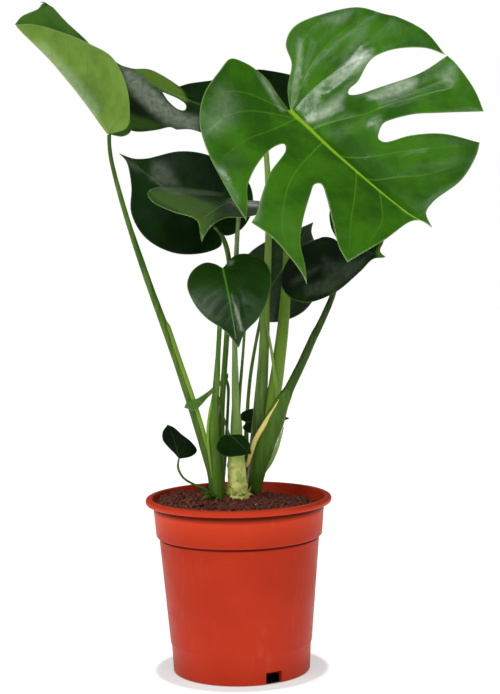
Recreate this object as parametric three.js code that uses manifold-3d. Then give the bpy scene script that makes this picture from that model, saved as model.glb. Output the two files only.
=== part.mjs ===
// A potted Swiss cheese plant (monstera) about 60 cm tall in a 17 cm nursery pot.
// Millimetres, +Z up. The origin is on the pot's axis, in the plane the pot stands on.
// The viewer of the front stands on the -Y side.

import * as THREE from 'three';
import { mergeVertices } from 'three/addons/utils/BufferGeometryUtils.js';
import Module from 'manifold-3d';

const wasm = await Module();
wasm.setup();

// ---------------------------------------------------------------- driving dimensions

const GAP = 0.3; // clearance between two pieces that touch on the real plant

const POT = {
  height: 160, rimRadius: 85, rimDepth: 5.6, openingRadius: 78.5,
  collarTopRadius: 78.1, collarRadius: 75.8, collarZ: 125.8, stepDepth: 2.6, stepWidth: 2.6,
  footTopZ: 26, footTopRadius: 64.6, footStep: 0.9, baseRadius: 62.7,
  wall: 1.7, floorZ: 9, floorThick: 2, footRingWidth: 6, padRadius: 22,
  notchWidth: 16, notchHeight: 11, notchAzimuth: 27, notches: 3,
  drainHoles: 6, drainRadius: 4, drainCircle: 42, sides: 72,
};

const SOIL = { edgeZ: 148.5, crownZ: 157.5, crownX: -6, crownRadius: 34, lump: 1.3, sides: 48 };

// The buried foot of each shoot: a plain round root neck in a plain hole.
const NECKS = {
  left: { x: -19.5, y: -5.5, radius: 7.6 },
  centre: { x: -0.3, y: 1, radius: 9 },
  right: { x: 13.5, y: 25, radius: 8.2 },
};
const NECK_BOTTOM = 126;
const NECK_TOP = 159.5;

// ---------------------------------------------------------------- materials

function plastic(color) {
  return new THREE.MeshStandardMaterial({ color, roughness: 0.42, metalness: 0 });
}

function green(color, roughness = 0.35) {
  return new THREE.MeshStandardMaterial({ color, roughness, metalness: 0 });
}

const TERRACOTTA = plastic(0xc23c26);
const PEAT = new THREE.MeshStandardMaterial({ color: 0x4a2620, roughness: 0.95, metalness: 0 });
const BRIGHT_LEAF = green(0x2f7a17);
const DARK_LEAF = green(0x1f4a1b);
const STALK = green(0x6d9a3a, 0.5);

// ---------------------------------------------------------------- solids

function toSolid(geometry) {
  const bare = geometry.index ? geometry.clone() : geometry;
  bare.deleteAttribute('normal');
  bare.deleteAttribute('uv');
  const merged = mergeVertices(bare, 1e-4);
  return new wasm.Manifold(new wasm.Mesh({
    numProp: 3,
    vertProperties: new Float32Array(merged.attributes.position.array),
    triVerts: new Uint32Array(merged.index.array),
  }));
}

function toGeometry(solid) {
  const mesh = solid.getMesh();
  const geometry = new THREE.BufferGeometry();
  geometry.setAttribute('position', new THREE.BufferAttribute(mesh.vertProperties, 3));
  geometry.setIndex(new THREE.BufferAttribute(mesh.triVerts, 1));
  return geometry;
}

function join(solids) {
  return solids.reduce((whole, piece) => whole.add(piece));
}

function piece(name, geometry, material) {
  const mesh = new THREE.Mesh(geometry, material.clone());
  mesh.name = name;
  return mesh;
}

// A fixed series of draws from 0 to 1.
function seededDraws(seed) {
  let state = seed;
  return () => {
    state = (state * 1664525 + 1013904223) % 4294967296;
    return state / 4294967296;
  };
}

// ---------------------------------------------------------------- leaf surface

const radians = THREE.MathUtils.degToRad;

// Walks a circular bend: how far it has gone along the start line and across it.
function walkBend(startAngle, rate, distance) {
  const k = Math.abs(rate) < 1e-9 ? 1e-9 : rate;
  const end = startAngle + k * distance;
  return {
    along: (Math.sin(end) - Math.sin(startAngle)) / k,
    across: (Math.cos(end) - Math.cos(startAngle)) / k,
    angle: end,
  };
}

// A leaf blade's middle surface. u runs from the stalk's joint to the tip and v across, to
// the left. The midrib is an arc from base to tip; each half is a V fold that may curl.
class LeafSurface {
  constructor(spec) {
    const {
      base, tip, roll = 0, droop = 0, rear = 0, drip = [20, 0],
      fold = [0, 0], curl = [0, 0], half = 50,
    } = spec;
    this.base = new THREE.Vector3(...base);
    const chord = new THREE.Vector3(...tip).sub(this.base);
    this.ahead = chord.clone().normalize();
    const up = new THREE.Vector3(0, 0, 1).addScaledVector(this.ahead, -this.ahead.z).normalize();
    const level = new THREE.Vector3().crossVectors(up, this.ahead);
    const turn = radians(roll);
    this.face = up.multiplyScalar(Math.cos(turn)).addScaledVector(level, Math.sin(turn));
    this.side = new THREE.Vector3().crossVectors(this.face, this.ahead);
    this.bend = radians(droop) || 1e-6;
    this.length = chord.length() * (this.bend / 2) / Math.sin(this.bend / 2);
    this.rearRate = radians(rear) / (this.length / 2);
    this.dripRate = radians(drip[1]) / drip[0];
    this.fold = fold.map(radians);
    this.curlRate = curl.map((degrees) => radians(degrees) / half);
  }

  midribAt(u) {
    const start = -this.bend / 2;
    if (u < 0) {
      const back = walkBend(start, this.rearRate, -u);
      return { along: -back.along, across: -back.across, angle: back.angle };
    }
    const body = walkBend(start, this.bend / this.length, Math.min(u, this.length));
    if (u <= this.length) return body;
    const end = walkBend(this.bend / 2, this.dripRate, u - this.length);
    return { along: body.along + end.along, across: body.across + end.across, angle: end.angle };
  }

  at(u, v) {
    const rib = this.midribAt(u);
    const upward = this.ahead.clone().multiplyScalar(Math.sin(rib.angle))
      .addScaledVector(this.face, Math.cos(rib.angle));
    const half = v >= 0 ? 0 : 1;
    const wing = walkBend(this.fold[half], this.curlRate[half], Math.abs(v));
    return this.base.clone()
      .addScaledVector(this.ahead, rib.along)
      .addScaledVector(this.face, rib.across)
      .addScaledVector(this.side, Math.sign(v) * wing.along)
      .addScaledVector(upward, -wing.across);
  }

  normalAt(u, v) {
    const d = 0.05;
    const alongU = this.at(u + d, v).sub(this.at(u - d, v));
    const alongV = this.at(u, v + d).sub(this.at(u, v - d));
    return alongU.cross(alongV).normalize();
  }

  // A point behind the blade, under its joint.
  under(depth) {
    return this.at(0, 0).addScaledVector(this.normalAt(1, 0), -depth);
  }
}

// ---------------------------------------------------------------- flat blades as triangles

// Smooth runs of points, with a corner wherever one run meets the next.
function smoothOutline(runs, step) {
  const outline = [];
  for (const run of runs) {
    const points = run.map(([u, v]) => new THREE.Vector3(u, v, 0));
    const curve = new THREE.CatmullRomCurve3(points, false, 'centripetal');
    const count = Math.max(Math.round(curve.getLength() / step), 2);
    outline.push(...curve.getSpacedPoints(count).slice(0, -1).map((p) => [p.x, p.y]));
  }
  return outline;
}

function isInside([u, v], loops) {
  let inside = false;
  for (const loop of loops) {
    loop.forEach(([u0, v0], i) => {
      const [u1, v1] = loop[(i + 1) % loop.length];
      if ((v0 > v) !== (v1 > v) && u < ((u1 - u0) * (v - v0)) / (v1 - v0) + u0) inside = !inside;
    });
  }
  return inside;
}

function clearOf([u, v], points, distance) {
  return points.every(([pu, pv]) => Math.hypot(pu - u, pv - v) > distance);
}

function circleAround(a, b, c) {
  const d = 2 * (a[0] * (b[1] - c[1]) + b[0] * (c[1] - a[1]) + c[0] * (a[1] - b[1]));
  const [aa, bb, cc] = [a, b, c].map(([u, v]) => u * u + v * v);
  const u = (aa * (b[1] - c[1]) + bb * (c[1] - a[1]) + cc * (a[1] - b[1])) / d;
  const v = (aa * (c[0] - b[0]) + bb * (a[0] - c[0]) + cc * (b[0] - a[0])) / d;
  return { u, v, radius: Math.hypot(a[0] - u, a[1] - v) };
}

// Delaunay triangles of a set of points, by adding one point at a time.
function delaunay(points) {
  const far = 1e4;
  const all = [...points, [-far, -far], [far, -far], [0, far]];
  const n = points.length;
  let triangles = [{ corners: [n, n + 1, n + 2], circle: circleAround(all[n], all[n + 1], all[n + 2]) }];
  for (let i = 0; i < n; i += 1) {
    const [u, v] = all[i];
    const hit = ({ circle }) => Math.hypot(circle.u - u, circle.v - v) < circle.radius * (1 + 1e-12);
    const open = new Map();
    for (const { corners } of triangles.filter(hit)) {
      corners.forEach((a, k) => {
        const b = corners[(k + 1) % 3];
        if (!open.delete(`${b},${a}`)) open.set(`${a},${b}`, [a, b]);
      });
    }
    triangles = triangles.filter((triangle) => !hit(triangle));
    for (const [a, b] of open.values()) {
      triangles.push({ corners: [a, b, i], circle: circleAround(all[a], all[b], all[i]) });
    }
  }
  return triangles.map(({ corners }) => corners).filter((corners) => corners.every((i) => i < n));
}

function centre(corners, points) {
  return [0, 1].map((axis) => corners.reduce((sum, i) => sum + points[i][axis], 0) / 3);
}

// Halves each stretch of outline that the triangles do not follow.
function splitMissingEdges(loops, points, triangles) {
  const edges = new Set();
  for (const corners of triangles) {
    corners.forEach((a, k) => edges.add(`${points[a]};${points[corners[(k + 1) % 3]]}`));
  }
  let missing = 0;
  const finer = loops.map((loop) => loop.flatMap((point, i) => {
    const next = loop[(i + 1) % loop.length];
    if (edges.has(`${point};${next}`)) return [point];
    missing += 1;
    return [point, [(point[0] + next[0]) / 2, (point[1] + next[1]) / 2]];
  }));
  return { finer, missing };
}

// Fills a flat outline, with holes if it has any, by even triangles about `step` wide.
function fillOutline(loops, ribPoints, step) {
  let edge = loops;
  for (let round = 0; round < 8; round += 1) {
    const rim = edge.flat();
    const inner = ribPoints.filter((p) => isInside(p, edge) && clearOf(p, rim, step * 0.4));
    const [us, vs] = [0, 1].map((axis) => rim.map((p) => p[axis]));
    const rowGap = step * 0.87;
    for (let v = Math.min(...vs), row = 0; v < Math.max(...vs); v += rowGap, row += 1) {
      for (let u = Math.min(...us) + (row % 2) * step * 0.5; u < Math.max(...us); u += step) {
        const p = [u + 0.013 * row, v];
        if (isInside(p, edge) && clearOf(p, rim, step * 0.62) && clearOf(p, inner, step * 0.6)) {
          inner.push(p);
        }
      }
    }
    const points = [...rim, ...inner];
    const triangles = delaunay(points).filter((corners) => isInside(centre(corners, points), edge));
    const { finer, missing } = splitMissingEdges(edge, points, triangles);
    if (missing === 0) return { points, triangles, loops: edge };
    edge = finer;
  }
  throw new Error('an outline could not be filled');
}

function ribRow(length, step) {
  const count = Math.floor((length * 0.96) / step);
  return Array.from({ length: count }, (_, i) => [(i + 0.5) * step, 0]);
}

// Fills a leaf's outline and its holes.
function flatBlade(spec, surface) {
  const loops = [smoothOutline(spec.outline, spec.step * 0.8)];
  for (const hole of spec.holes ?? []) {
    loops.push(smoothOutline([[...hole, hole[0]]], spec.step * 0.6));
  }
  return fillOutline(loops, ribRow(surface.length, spec.step * 0.8), spec.step);
}

// How far each point moves when the blade's edge is grown by `distance`.
function edgeShifts(flat, distance) {
  const shifts = flat.points.map(() => [0, 0]);
  let start = 0;
  for (const loop of flat.loops) {
    loop.forEach((_, i) => {
      const [beforeU, beforeV] = loop[(i + loop.length - 1) % loop.length];
      const [nextU, nextV] = loop[(i + 1) % loop.length];
      const scale = distance / Math.hypot(nextU - beforeU, nextV - beforeV);
      shifts[start + i] = [(nextV - beforeV) * scale, (beforeU - nextU) * scale];
    });
    start += loop.length;
  }
  return shifts;
}

// A closed blade: the same triangles on both faces and a rim between them, thickened on the
// underside along the midrib. `extra` grows it on every side.
function bladeGeometry(spec, surface, flat, extra = 0) {
  const n = flat.points.length;
  const shifts = edgeShifts(flat, extra * 2);
  const positions = new Float32Array(n * 6);
  flat.points.forEach(([u, v], i) => {
    const middle = surface.at(u + shifts[i][0], v + shifts[i][1]);
    const normal = surface.normalAt(u, v);
    const ahead = THREE.MathUtils.clamp(1 - u / surface.length, 0, 1);
    const rib = u < 0 ? 0 : spec.swell * ahead * Math.exp(-((v / 4) ** 2));
    const halfThickness = spec.thickness / 2 + extra;
    middle.clone().addScaledVector(normal, halfThickness).toArray(positions, i * 3);
    middle.addScaledVector(normal, -halfThickness - rib).toArray(positions, (n + i) * 3);
  });
  const index = [];
  for (const [a, b, c] of flat.triangles) index.push(a, b, c, n + a, n + c, n + b);
  let start = 0;
  for (const loop of flat.loops) {
    for (let i = 0; i < loop.length; i += 1) {
      const a = start + i;
      const b = start + ((i + 1) % loop.length);
      index.push(b, a, n + a, b, n + a, n + b);
    }
    start += loop.length;
  }
  const geometry = new THREE.BufferGeometry();
  geometry.setAttribute('position', new THREE.BufferAttribute(positions, 3));
  geometry.setIndex(index);
  return geometry;
}

// ---------------------------------------------------------------- stalks

// A closed rod through [x, y, z, half width, depth over width] stations.
function rod(stations, sides, rowsPerStation) {
  const curve = new THREE.CatmullRomCurve3(
    stations.map(([x, y, z]) => new THREE.Vector3(x, y, z)), false, 'centripetal');
  const rows = (stations.length - 1) * rowsPerStation;
  const geometry = new THREE.CylinderGeometry(1, 1, 1, sides, rows);
  const positions = geometry.attributes.position;
  for (let i = 0; i < positions.count; i += 1) {
    const t = THREE.MathUtils.clamp(positions.getY(i) + 0.5, 0, 1);
    const place = t * (stations.length - 1);
    const k = Math.min(Math.floor(place), stations.length - 2);
    const blend = THREE.MathUtils.smoothstep(place - k, 0, 1);
    const halfWidth = THREE.MathUtils.lerp(stations[k][3], stations[k + 1][3], blend);
    const flatness = THREE.MathUtils.lerp(stations[k][4] ?? 1, stations[k + 1][4] ?? 1, blend);
    const tangent = curve.getTangent(t);
    const depth = new THREE.Vector3(0, 1, 0).addScaledVector(tangent, -tangent.y).normalize();
    const width = new THREE.Vector3().crossVectors(tangent, depth);
    const point = curve.getPoint(t)
      .addScaledVector(width, positions.getX(i) * halfWidth)
      .addScaledVector(depth, positions.getZ(i) * halfWidth * flatness);
    positions.setXYZ(i, point.x, point.y, point.z);
  }
  return toSolid(geometry);
}

function neckCylinder({ x, y, radius }, bottom, top, grow) {
  const geometry = new THREE.CylinderGeometry(radius + grow, radius + grow, top - bottom, 16);
  geometry.rotateX(Math.PI / 2).translate(x, y, (top + bottom) / 2);
  return toSolid(geometry);
}

// ---------------------------------------------------------------- the leaves

const LEAVES = {
  leaf_fenestrated_front: {
    base: [53, -20, 506], tip: [171, -76, 401], roll: -39, droop: 4, rear: 65,
    fold: [12, 12], curl: [4, -18], half: 110, thickness: 1.1, swell: 1.6, step: 11,
    material: BRIGHT_LEAF,
    outline: [
      [[0, 0], [-23, 4], [-36, 5], [-50, 0], [-64, -12], [-73, -25], [-70, -40], [-60, -66],
        [-41, -84], [-6, -100], [39, -118], [61, -125]],
      [[61, -125], [49, -111], [37, -98], [26, -73], [22, -48], [25, -38], [31, -43], [40, -73],
        [51, -95], [63, -116], [65, -123]],
      [[65, -123], [86, -121], [114, -125], [128, -128.5], [138, -133]],
      [[138, -133], [124, -120.5], [107, -108], [94, -91], [78, -63], [73, -52], [76, -47],
        [91, -56], [109, -70], [131, -86], [146, -92]],
      [[146, -92], [151, -50], [152, -10], [157, -2], [167, 0]],
      [[167, 0], [154, 7], [151, 20], [154, 53], [147, 81], [141, 92]],
      [[141, 92], [112, 76], [93, 55], [81, 34], [75, 33], [71, 38], [68, 48], [79, 71],
        [97, 91], [123, 118]],
      [[123, 118], [103, 129], [73, 138], [62.5, 139]],
      [[62.5, 139], [57, 110], [42, 77], [30, 53], [25, 49], [22, 53], [22, 64], [16, 85],
        [16, 96], [23, 112], [43, 132], [60.5, 138.5]],
      [[60.5, 138.5], [29, 145], [-15, 134], [-48, 117], [-64, 83], [-67, 52], [-56, 38],
        [-36, 33], [-19, 15], [0, 0]],
    ],
  },
  leaf_fenestrated_back: {
    base: [30, 88, 504], tip: [-115, 85, 569], roll: 50, droop: -35,
    fold: [-10, 5], curl: [-30, -10], half: 70, thickness: 1, swell: 1.4, step: 11,
    material: DARK_LEAF,
    outline: [
      [[0, 0], [-14, -3], [-30, -14], [-38, -34], [-36, -54], [-24, -69], [-7, -72], [12, -72],
        [25, -69], [43, -52], [60, -36], [80, -20], [88, -11]],
      [[88, -11], [104, -14], [121, -13], [137, -2], [149, 2], [161, 0]],
      [[161, 0], [155, 18], [145, 38], [130, 50], [110, 53], [92, 43], [80, 34], [74, 34]],
      [[74, 34], [62, 29], [43, 28], [20, 24], [-4, 18], [-14, 10], [-8, 2], [0, 0]],
    ],
    holes: [[[101, 3.5], [83, 3], [75, 6], [74, 12], [80, 14], [92, 10]]],
  },
  leaf_folded_left: {
    base: [-109, -4, 490], tip: [-193, 10, 591], roll: -22, droop: 14,
    fold: [58, 58], curl: [-15, -15], half: 55, thickness: 1, swell: 1, step: 10,
    material: BRIGHT_LEAF,
    outline: [
      [[0, 0], [-6, -12], [-4, -26], [14, -40], [45, -54], [86, -64], [112, -61], [130, -64]],
      [[130, -64], [137, -58], [134, -40], [135, -14], [132, 0]],
      [[132, 0], [120, 11], [95, 26], [71, 38], [48, 47], [25, 42], [7, 31], [-5, 18], [0, 0]],
    ],
  },
  leaf_heart_left: {
    base: [-17, 15, 405], tip: [-99, 38, 471], roll: 70, droop: 10, drip: [8, 10],
    fold: [5, 5], half: 55, thickness: 0.9, swell: 0.8, step: 11,
    material: DARK_LEAF,
    outline: [
      [[0, 0], [-12, 0], [-20, -13], [-17, -34], [0, -51], [22, -53], [45, -49], [70, -35],
        [91, -11], [101, -4], [115, 0]],
      [[115, 0], [104, 2], [84, 18], [67, 38], [41, 48], [12, 42], [-10, 22], [-15, 8], [0, 0]],
    ],
  },
  leaf_drooping_left: {
    base: [7, -25, 429], tip: [-25, -88, 412], roll: 12, droop: 25, drip: [25, 60],
    fold: [4, 4], half: 60, thickness: 0.9, swell: 0.8, step: 11,
    material: DARK_LEAF,
    outline: [
      [[0, 0], [-12, -8], [-16, -24], [-6, -42], [15, -54], [38, -64], [53, -65], [67, -53],
        [74, -30], [76, -6], [96, 8]],
      [[96, 8], [78, 12], [64, 18], [59, 32], [44, 42], [18, 44], [-4, 36], [-14, 20],
        [-10, 6], [0, 0]],
    ],
  },
  leaf_heart_front: {
    base: [-10, -35, 369], tip: [1, -62, 306], roll: -14, droop: 24, drip: [9, 10],
    fold: [6, 6], half: 40, thickness: 0.9, swell: 0.8, step: 10,
    material: DARK_LEAF,
    outline: [
      [[0, 0], [-5, -6], [-7, -15], [1, -28], [15, -35], [32, -32], [46, -24], [60, -9], [76, 1]],
      [[76, 1], [64, 8], [53, 22], [38, 33], [19, 40], [2, 38], [-9, 27], [-11, 14], [0, 0]],
    ],
  },
  leaf_folded_right: {
    base: [94, -25, 389], tip: [124, -70, 378], roll: -50, droop: 15, drip: [12, -20],
    fold: [25, 4], curl: [0, -10], half: 60, thickness: 0.9, swell: 0.8, step: 10,
    material: DARK_LEAF,
    outline: [
      [[0, 0], [-12, 3], [-30, 2], [-44, -5], [-54, -16], [-55, -30], [-46, -49], [-27, -60],
        [-4, -65], [21, -62], [42, -45], [51, -20], [54, -4], [66, 1]],
      [[66, 1], [56, 5], [56, 14], [42, 30], [16, 40], [-14, 38], [-30, 28], [-22, 14], [0, 0]],
    ],
  },
  leaf_round_back: {
    base: [28, 58, 336], tip: [72, 72, 404], roll: -50, droop: 10, drip: [10, 10],
    fold: [6, 6], half: 50, thickness: 0.9, swell: 0.8, step: 11,
    material: DARK_LEAF,
    outline: [
      [[0, 0], [-12, -3], [-17, -13], [-8, -30], [9, -43], [31, -44], [53, -32], [71, -14],
        [79, -5], [88, -1]],
      [[88, -1], [78, 6], [62, 20], [33, 36], [7, 38], [-12, 30], [-20, 16], [-10, 4], [0, 0]],
    ],
  },
  leaf_low_left: {
    base: [-53, -14, 197], tip: [-61, -22, 228], roll: 90, droop: 8, drip: [4, 10],
    fold: [6, 6], half: 16, thickness: 0.8, swell: 0.3, step: 7,
    material: DARK_LEAF,
    outline: [
      [[0, 0], [-4, -14], [-2, -21], [8, -18], [20, -10], [30, -4], [35, 1]],
      [[35, 1], [32, 10], [26, 13], [16, 9], [6, 3], [0, 0]],
    ],
  },
  leaf_low_centre: {
    base: [-7, -22, 219], tip: [10, -32, 204], roll: -35, droop: 12, drip: [4, 10],
    fold: [4, 4], half: 20, thickness: 0.8, swell: 0.3, step: 7,
    material: DARK_LEAF,
    outline: [
      [[0, 0], [-3, -5], [1, -18], [7, -22], [14, -21], [22, -10], [27, 1]],
      [[27, 1], [16, 8], [8, 8], [0, 0]],
    ],
  },
  leaf_narrow_left: {
    base: [-9, 13, 267], tip: [-46, -24, 238], roll: 20, droop: -6,
    fold: [30, 30], half: 12, thickness: 0.8, swell: 0.2, step: 6,
    material: STALK,
    outline: [
      [[0, 0], [8, -2.4], [24, -2.6], [38, -4.5], [49, -8], [55, -6]],
      [[55, -6], [52, 0], [53, 7], [44, 6.5], [32, 3.5], [18, 2.6], [7, 2.4], [0, 0]],
    ],
  },
  leaf_small_back: {
    base: [9, 51, 221], tip: [47, 59, 223], roll: -40, droop: 12,
    fold: [6, 6], half: 18, thickness: 0.8, swell: 0.3, step: 7,
    material: DARK_LEAF,
    outline: [
      [[0, 0], [-5, -6], [-2, -14], [10, -17], [24, -12], [34, -4], [42, 0]],
      [[42, 0], [34, 5], [24, 12], [10, 15], [-2, 12], [-5, 5], [0, 0]],
    ],
  },
  leaf_small_centre: {
    base: [11, 9, 334], tip: [19, 2, 356], roll: -30, droop: 12,
    fold: [6, 6], half: 14, thickness: 0.8, swell: 0.3, step: 7,
    material: DARK_LEAF,
    outline: [
      [[0, 0], [-4, -4], [-2, -9], [7, -11], [17, -7], [25, 0]],
      [[25, 0], [17, 7], [7, 10], [-2, 8], [-4, 4], [0, 0]],
    ],
  },
};

// ---------------------------------------------------------------- the stalks

// Each stalk runs up from its shoot's foot and ends under its leaf.
const STALKS = {
  left: [
    { to: 'leaf_folded_left', end: 1.8, stations: [
      [-22.4, -6, 157, 3.3], [-24, -6, 180, 3.9], [-28.8, -6, 202, 4.5], [-34.9, -6, 225, 4.6],
      [-43.5, -6, 255, 4.4], [-57.4, -5, 298, 3.7], [-78.5, -4, 360, 3], [-96.9, -3, 420, 2.3],
      [-107.8, -3, 465, 1.9], [-109.5, -3.5, 480, 1.8]] },
    { to: 'leaf_heart_front', end: 1.9, stations: [
      [-18.6, -7, 157, 4.3], [-19.8, -8, 185, 5.2, 0.8], [-22, -11, 222, 5.4, 0.6],
      [-18.4, -13, 259, 3.2], [-15.5, -16, 295, 2.2], [-12.8, -22, 331, 2.1],
      [-10.6, -31, 358, 2]] },
    { to: 'leaf_heart_left', end: 1.9, stations: [
      [-16, -4, 157, 3.6], [-14.8, -1, 198, 3.2], [-13.6, 1, 240, 2.7], [-8.1, 4, 303, 2.5],
      [-5.5, 7, 339, 2.4], [-4.4, 12, 374, 2.3], [-9, 17, 394, 2.3]] },
    { to: 'leaf_narrow_left', end: 1, stations: [
      [-16, -1, 158, 2], [-11.5, 5, 196, 1.6], [-8.5, 11, 235, 1.4], [-7.5, 14, 258, 1.4]] },
    { to: 'leaf_low_left', end: 0.9, stations: [
      [-19, -6, 160, 1.6], [-23.2, -8, 163, 1.4], [-31.7, -10, 169, 1.2], [-41.9, -12, 174, 1.1],
      [-50, -13, 180, 1.1], [-54.2, -13, 189, 1.1]] },
    { to: 'leaf_low_centre', end: 0.9, stations: [
      [-19, -13, 257, 1.6], [-16, -15, 250, 1.4], [-13.2, -17, 238, 1.1], [-9.8, -19, 227, 1.1]] },
  ],
  centre: [
    { to: 'leaf_drooping_left', end: 1.9, stations: [
      [-0.3, 1, 157, 8.9, 0.95], [-1, 1, 178, 8.6, 0.9], [-1.6, 1, 196, 7.3, 0.85],
      [-0.8, 0, 220, 5.5, 0.9], [-0.9, -1, 248, 3.5], [-0.6, -5, 303, 2.4], [0.4, -10, 340, 2.3],
      [2.4, -16, 381, 2.1], [4.6, -21.5, 410, 2]] },
    { to: 'leaf_small_centre', end: 0.9, stations: [
      [0.4, 2, 226, 2], [3.3, 4, 257, 1.5], [7, 7, 293, 1.3], [9.4, 9.5, 320, 1.2]] },
  ],
  right: [
    { to: 'leaf_fenestrated_back', end: 2.4, stations: [
      [13.6, 26, 157, 6.4], [17.6, 28, 198, 7, 0.8], [21.3, 29, 233, 6.3, 0.8],
      [26.3, 31, 291, 4.8], [28.6, 36, 328, 4.2], [31.3, 46, 364, 3.5], [33.3, 59, 402, 3.1],
      [34, 74, 442, 2.8], [32.6, 84, 478, 2.6]] },
    { to: 'leaf_fenestrated_front', end: 3.2, stations: [
      [14.5, 26, 157, 6], [19.8, 28, 193, 7, 0.8], [27.9, 30, 225, 6.5, 0.8],
      [35.4, 31, 253, 6.5, 0.8], [40.7, 32, 285, 5.9], [45.5, 31, 322, 5.2], [48.2, 30, 355, 4.3],
      [50.2, 26, 392, 3.9], [52, 18, 429, 3.6], [54, 4, 466, 3.4]] },
    { to: 'leaf_folded_right', end: 2.2, stations: [
      [13.5, 24, 157, 6], [18, 19, 180, 7.6, 0.8], [24.9, 17, 201, 8.8, 0.6],
      [33.5, 14, 224, 9.2, 0.5], [43.9, 9, 248, 6, 0.7], [49.1, 7, 258, 4.7], [61.4, 2, 283, 4.3],
      [70.4, -2, 303, 4], [79.9, -6, 322, 3.3], [88.9, -11, 344, 2.9], [94, -18, 370, 2.4]] },
    { to: 'leaf_round_back', end: 1.6, stations: [
      [10.8, 28, 160, 2], [9, 48, 190, 1.9], [9.6, 65, 224, 1.8], [13.6, 69, 263, 1.7],
      [19.4, 66, 295, 1.6], [24.8, 61, 320, 1.6]] },
    { to: 'leaf_small_back', end: 0.9, stations: [
      [11, 31, 160, 1.8], [7.4, 44, 190, 1.3], [7.4, 51.5, 210, 1.1]] },
  ],
};

function stalkSolid(stalk, surfaces) {
  const blade = LEAVES[stalk.to];
  const last = surfaces[stalk.to].under(blade.thickness / 2 + GAP);
  const stations = [...stalk.stations, [last.x, last.y, last.z, stalk.end]];
  return rod(stations, stalk.stations[1][3] > 2.5 ? 12 : 8, 2);
}

// The stalks of one shoot as one body, trimmed clear of the blades they carry.
function makeShoot(name, surfaces, keepClear) {
  const neck = neckCylinder(NECKS[name], NECK_BOTTOM, NECK_TOP, 0);
  let shoot = join([neck, ...STALKS[name].map((stalk) => stalkSolid(stalk, surfaces))]);
  for (const { to } of STALKS[name]) shoot = shoot.subtract(keepClear[to]);
  const bodies = shoot.decompose().sort((a, b) => b.volume() - a.volume());
  return toGeometry(bodies[0]);
}

// ---------------------------------------------------------------- pot

function potProfile() {
  const p = POT;
  const wallAt = (radius) => radius - p.wall;
  const lipTop = p.height - 1.2;
  const outside = [
    [p.padRadius, 0], [p.padRadius, 2], [p.baseRadius - p.footRingWidth, p.floorZ - 2],
    [p.baseRadius - p.footRingWidth + 1.5, 0], [p.baseRadius - 1, 0], [p.baseRadius, 1],
    [p.footTopRadius - p.footStep, p.footTopZ], [p.footTopRadius, p.footTopZ + 1],
    [p.collarRadius - p.stepWidth, p.collarZ - p.stepDepth], [p.collarRadius, p.collarZ],
    [p.collarTopRadius, p.height - p.rimDepth], [p.rimRadius - 2.2, p.height - p.rimDepth - 0.6],
    [p.rimRadius - 0.5, p.height - p.rimDepth + 1], [p.rimRadius, p.height - p.rimDepth + 3],
    [p.rimRadius - 0.4, lipTop - 1], [p.rimRadius - 1.6, p.height],
  ];
  const inside = [
    [p.openingRadius + 1, p.height], [p.openingRadius, lipTop],
    [wallAt(p.collarTopRadius), p.height - p.rimDepth - 1], [wallAt(p.collarRadius), p.collarZ],
    [wallAt(p.collarRadius - p.stepWidth), p.collarZ - p.stepDepth - 1],
    [wallAt(p.baseRadius) - 1, p.floorZ + p.floorThick + 3],
    [wallAt(p.baseRadius) - 4, p.floorZ + p.floorThick], [0, p.floorZ + p.floorThick],
  ];
  return [[0, 0], ...outside, ...inside].map(([r, z]) => new THREE.Vector2(r, z));
}

// The lathe turns about Y, so it is stood up onto Z.
function turned(profile, sides) {
  return new THREE.LatheGeometry(profile, sides).rotateX(Math.PI / 2);
}

function notchCutter(azimuth) {
  const cutter = new THREE.BoxGeometry(POT.notchWidth, 24, POT.notchHeight * 2);
  cutter.translate(0, -POT.baseRadius, 0);
  cutter.rotateZ(radians(azimuth));
  return toSolid(cutter);
}

function drainCutter(index) {
  const angle = (index / POT.drainHoles) * Math.PI * 2;
  const cutter = new THREE.CylinderGeometry(POT.drainRadius, POT.drainRadius, 30, 12);
  cutter.rotateX(Math.PI / 2);
  cutter.translate(Math.cos(angle) * POT.drainCircle, Math.sin(angle) * POT.drainCircle, 10);
  return toSolid(cutter);
}

function makePot() {
  let pot = toSolid(turned(potProfile(), POT.sides));
  for (let i = 0; i < POT.notches; i += 1) {
    pot = pot.subtract(notchCutter(POT.notchAzimuth + (i * 360) / POT.notches));
  }
  for (let i = 0; i < POT.drainHoles; i += 1) pot = pot.subtract(drainCutter(i));
  return toGeometry(pot);
}

// ---------------------------------------------------------------- soil

function soilProfile() {
  const p = POT;
  const wallAt = (radius) => radius - p.wall - GAP;
  const bottom = p.floorZ + p.floorThick + GAP;
  const rings = [66, 58, 50, 42, 34, 26, 18, 10];
  return [
    [0, bottom], [wallAt(p.baseRadius) - 5, bottom], [wallAt(p.baseRadius) - 1.4, bottom + 4],
    [wallAt(p.collarRadius - p.stepWidth) - 0.3, p.collarZ - p.stepDepth - 1.3],
    [wallAt(p.collarRadius) - 0.3, p.collarZ + 0.3], [wallAt(p.collarTopRadius) - 0.8, SOIL.edgeZ],
    ...rings.map((r) => [r, SOIL.edgeZ]), [0, SOIL.edgeZ],
  ].map(([r, z]) => new THREE.Vector2(r, z));
}

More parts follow.
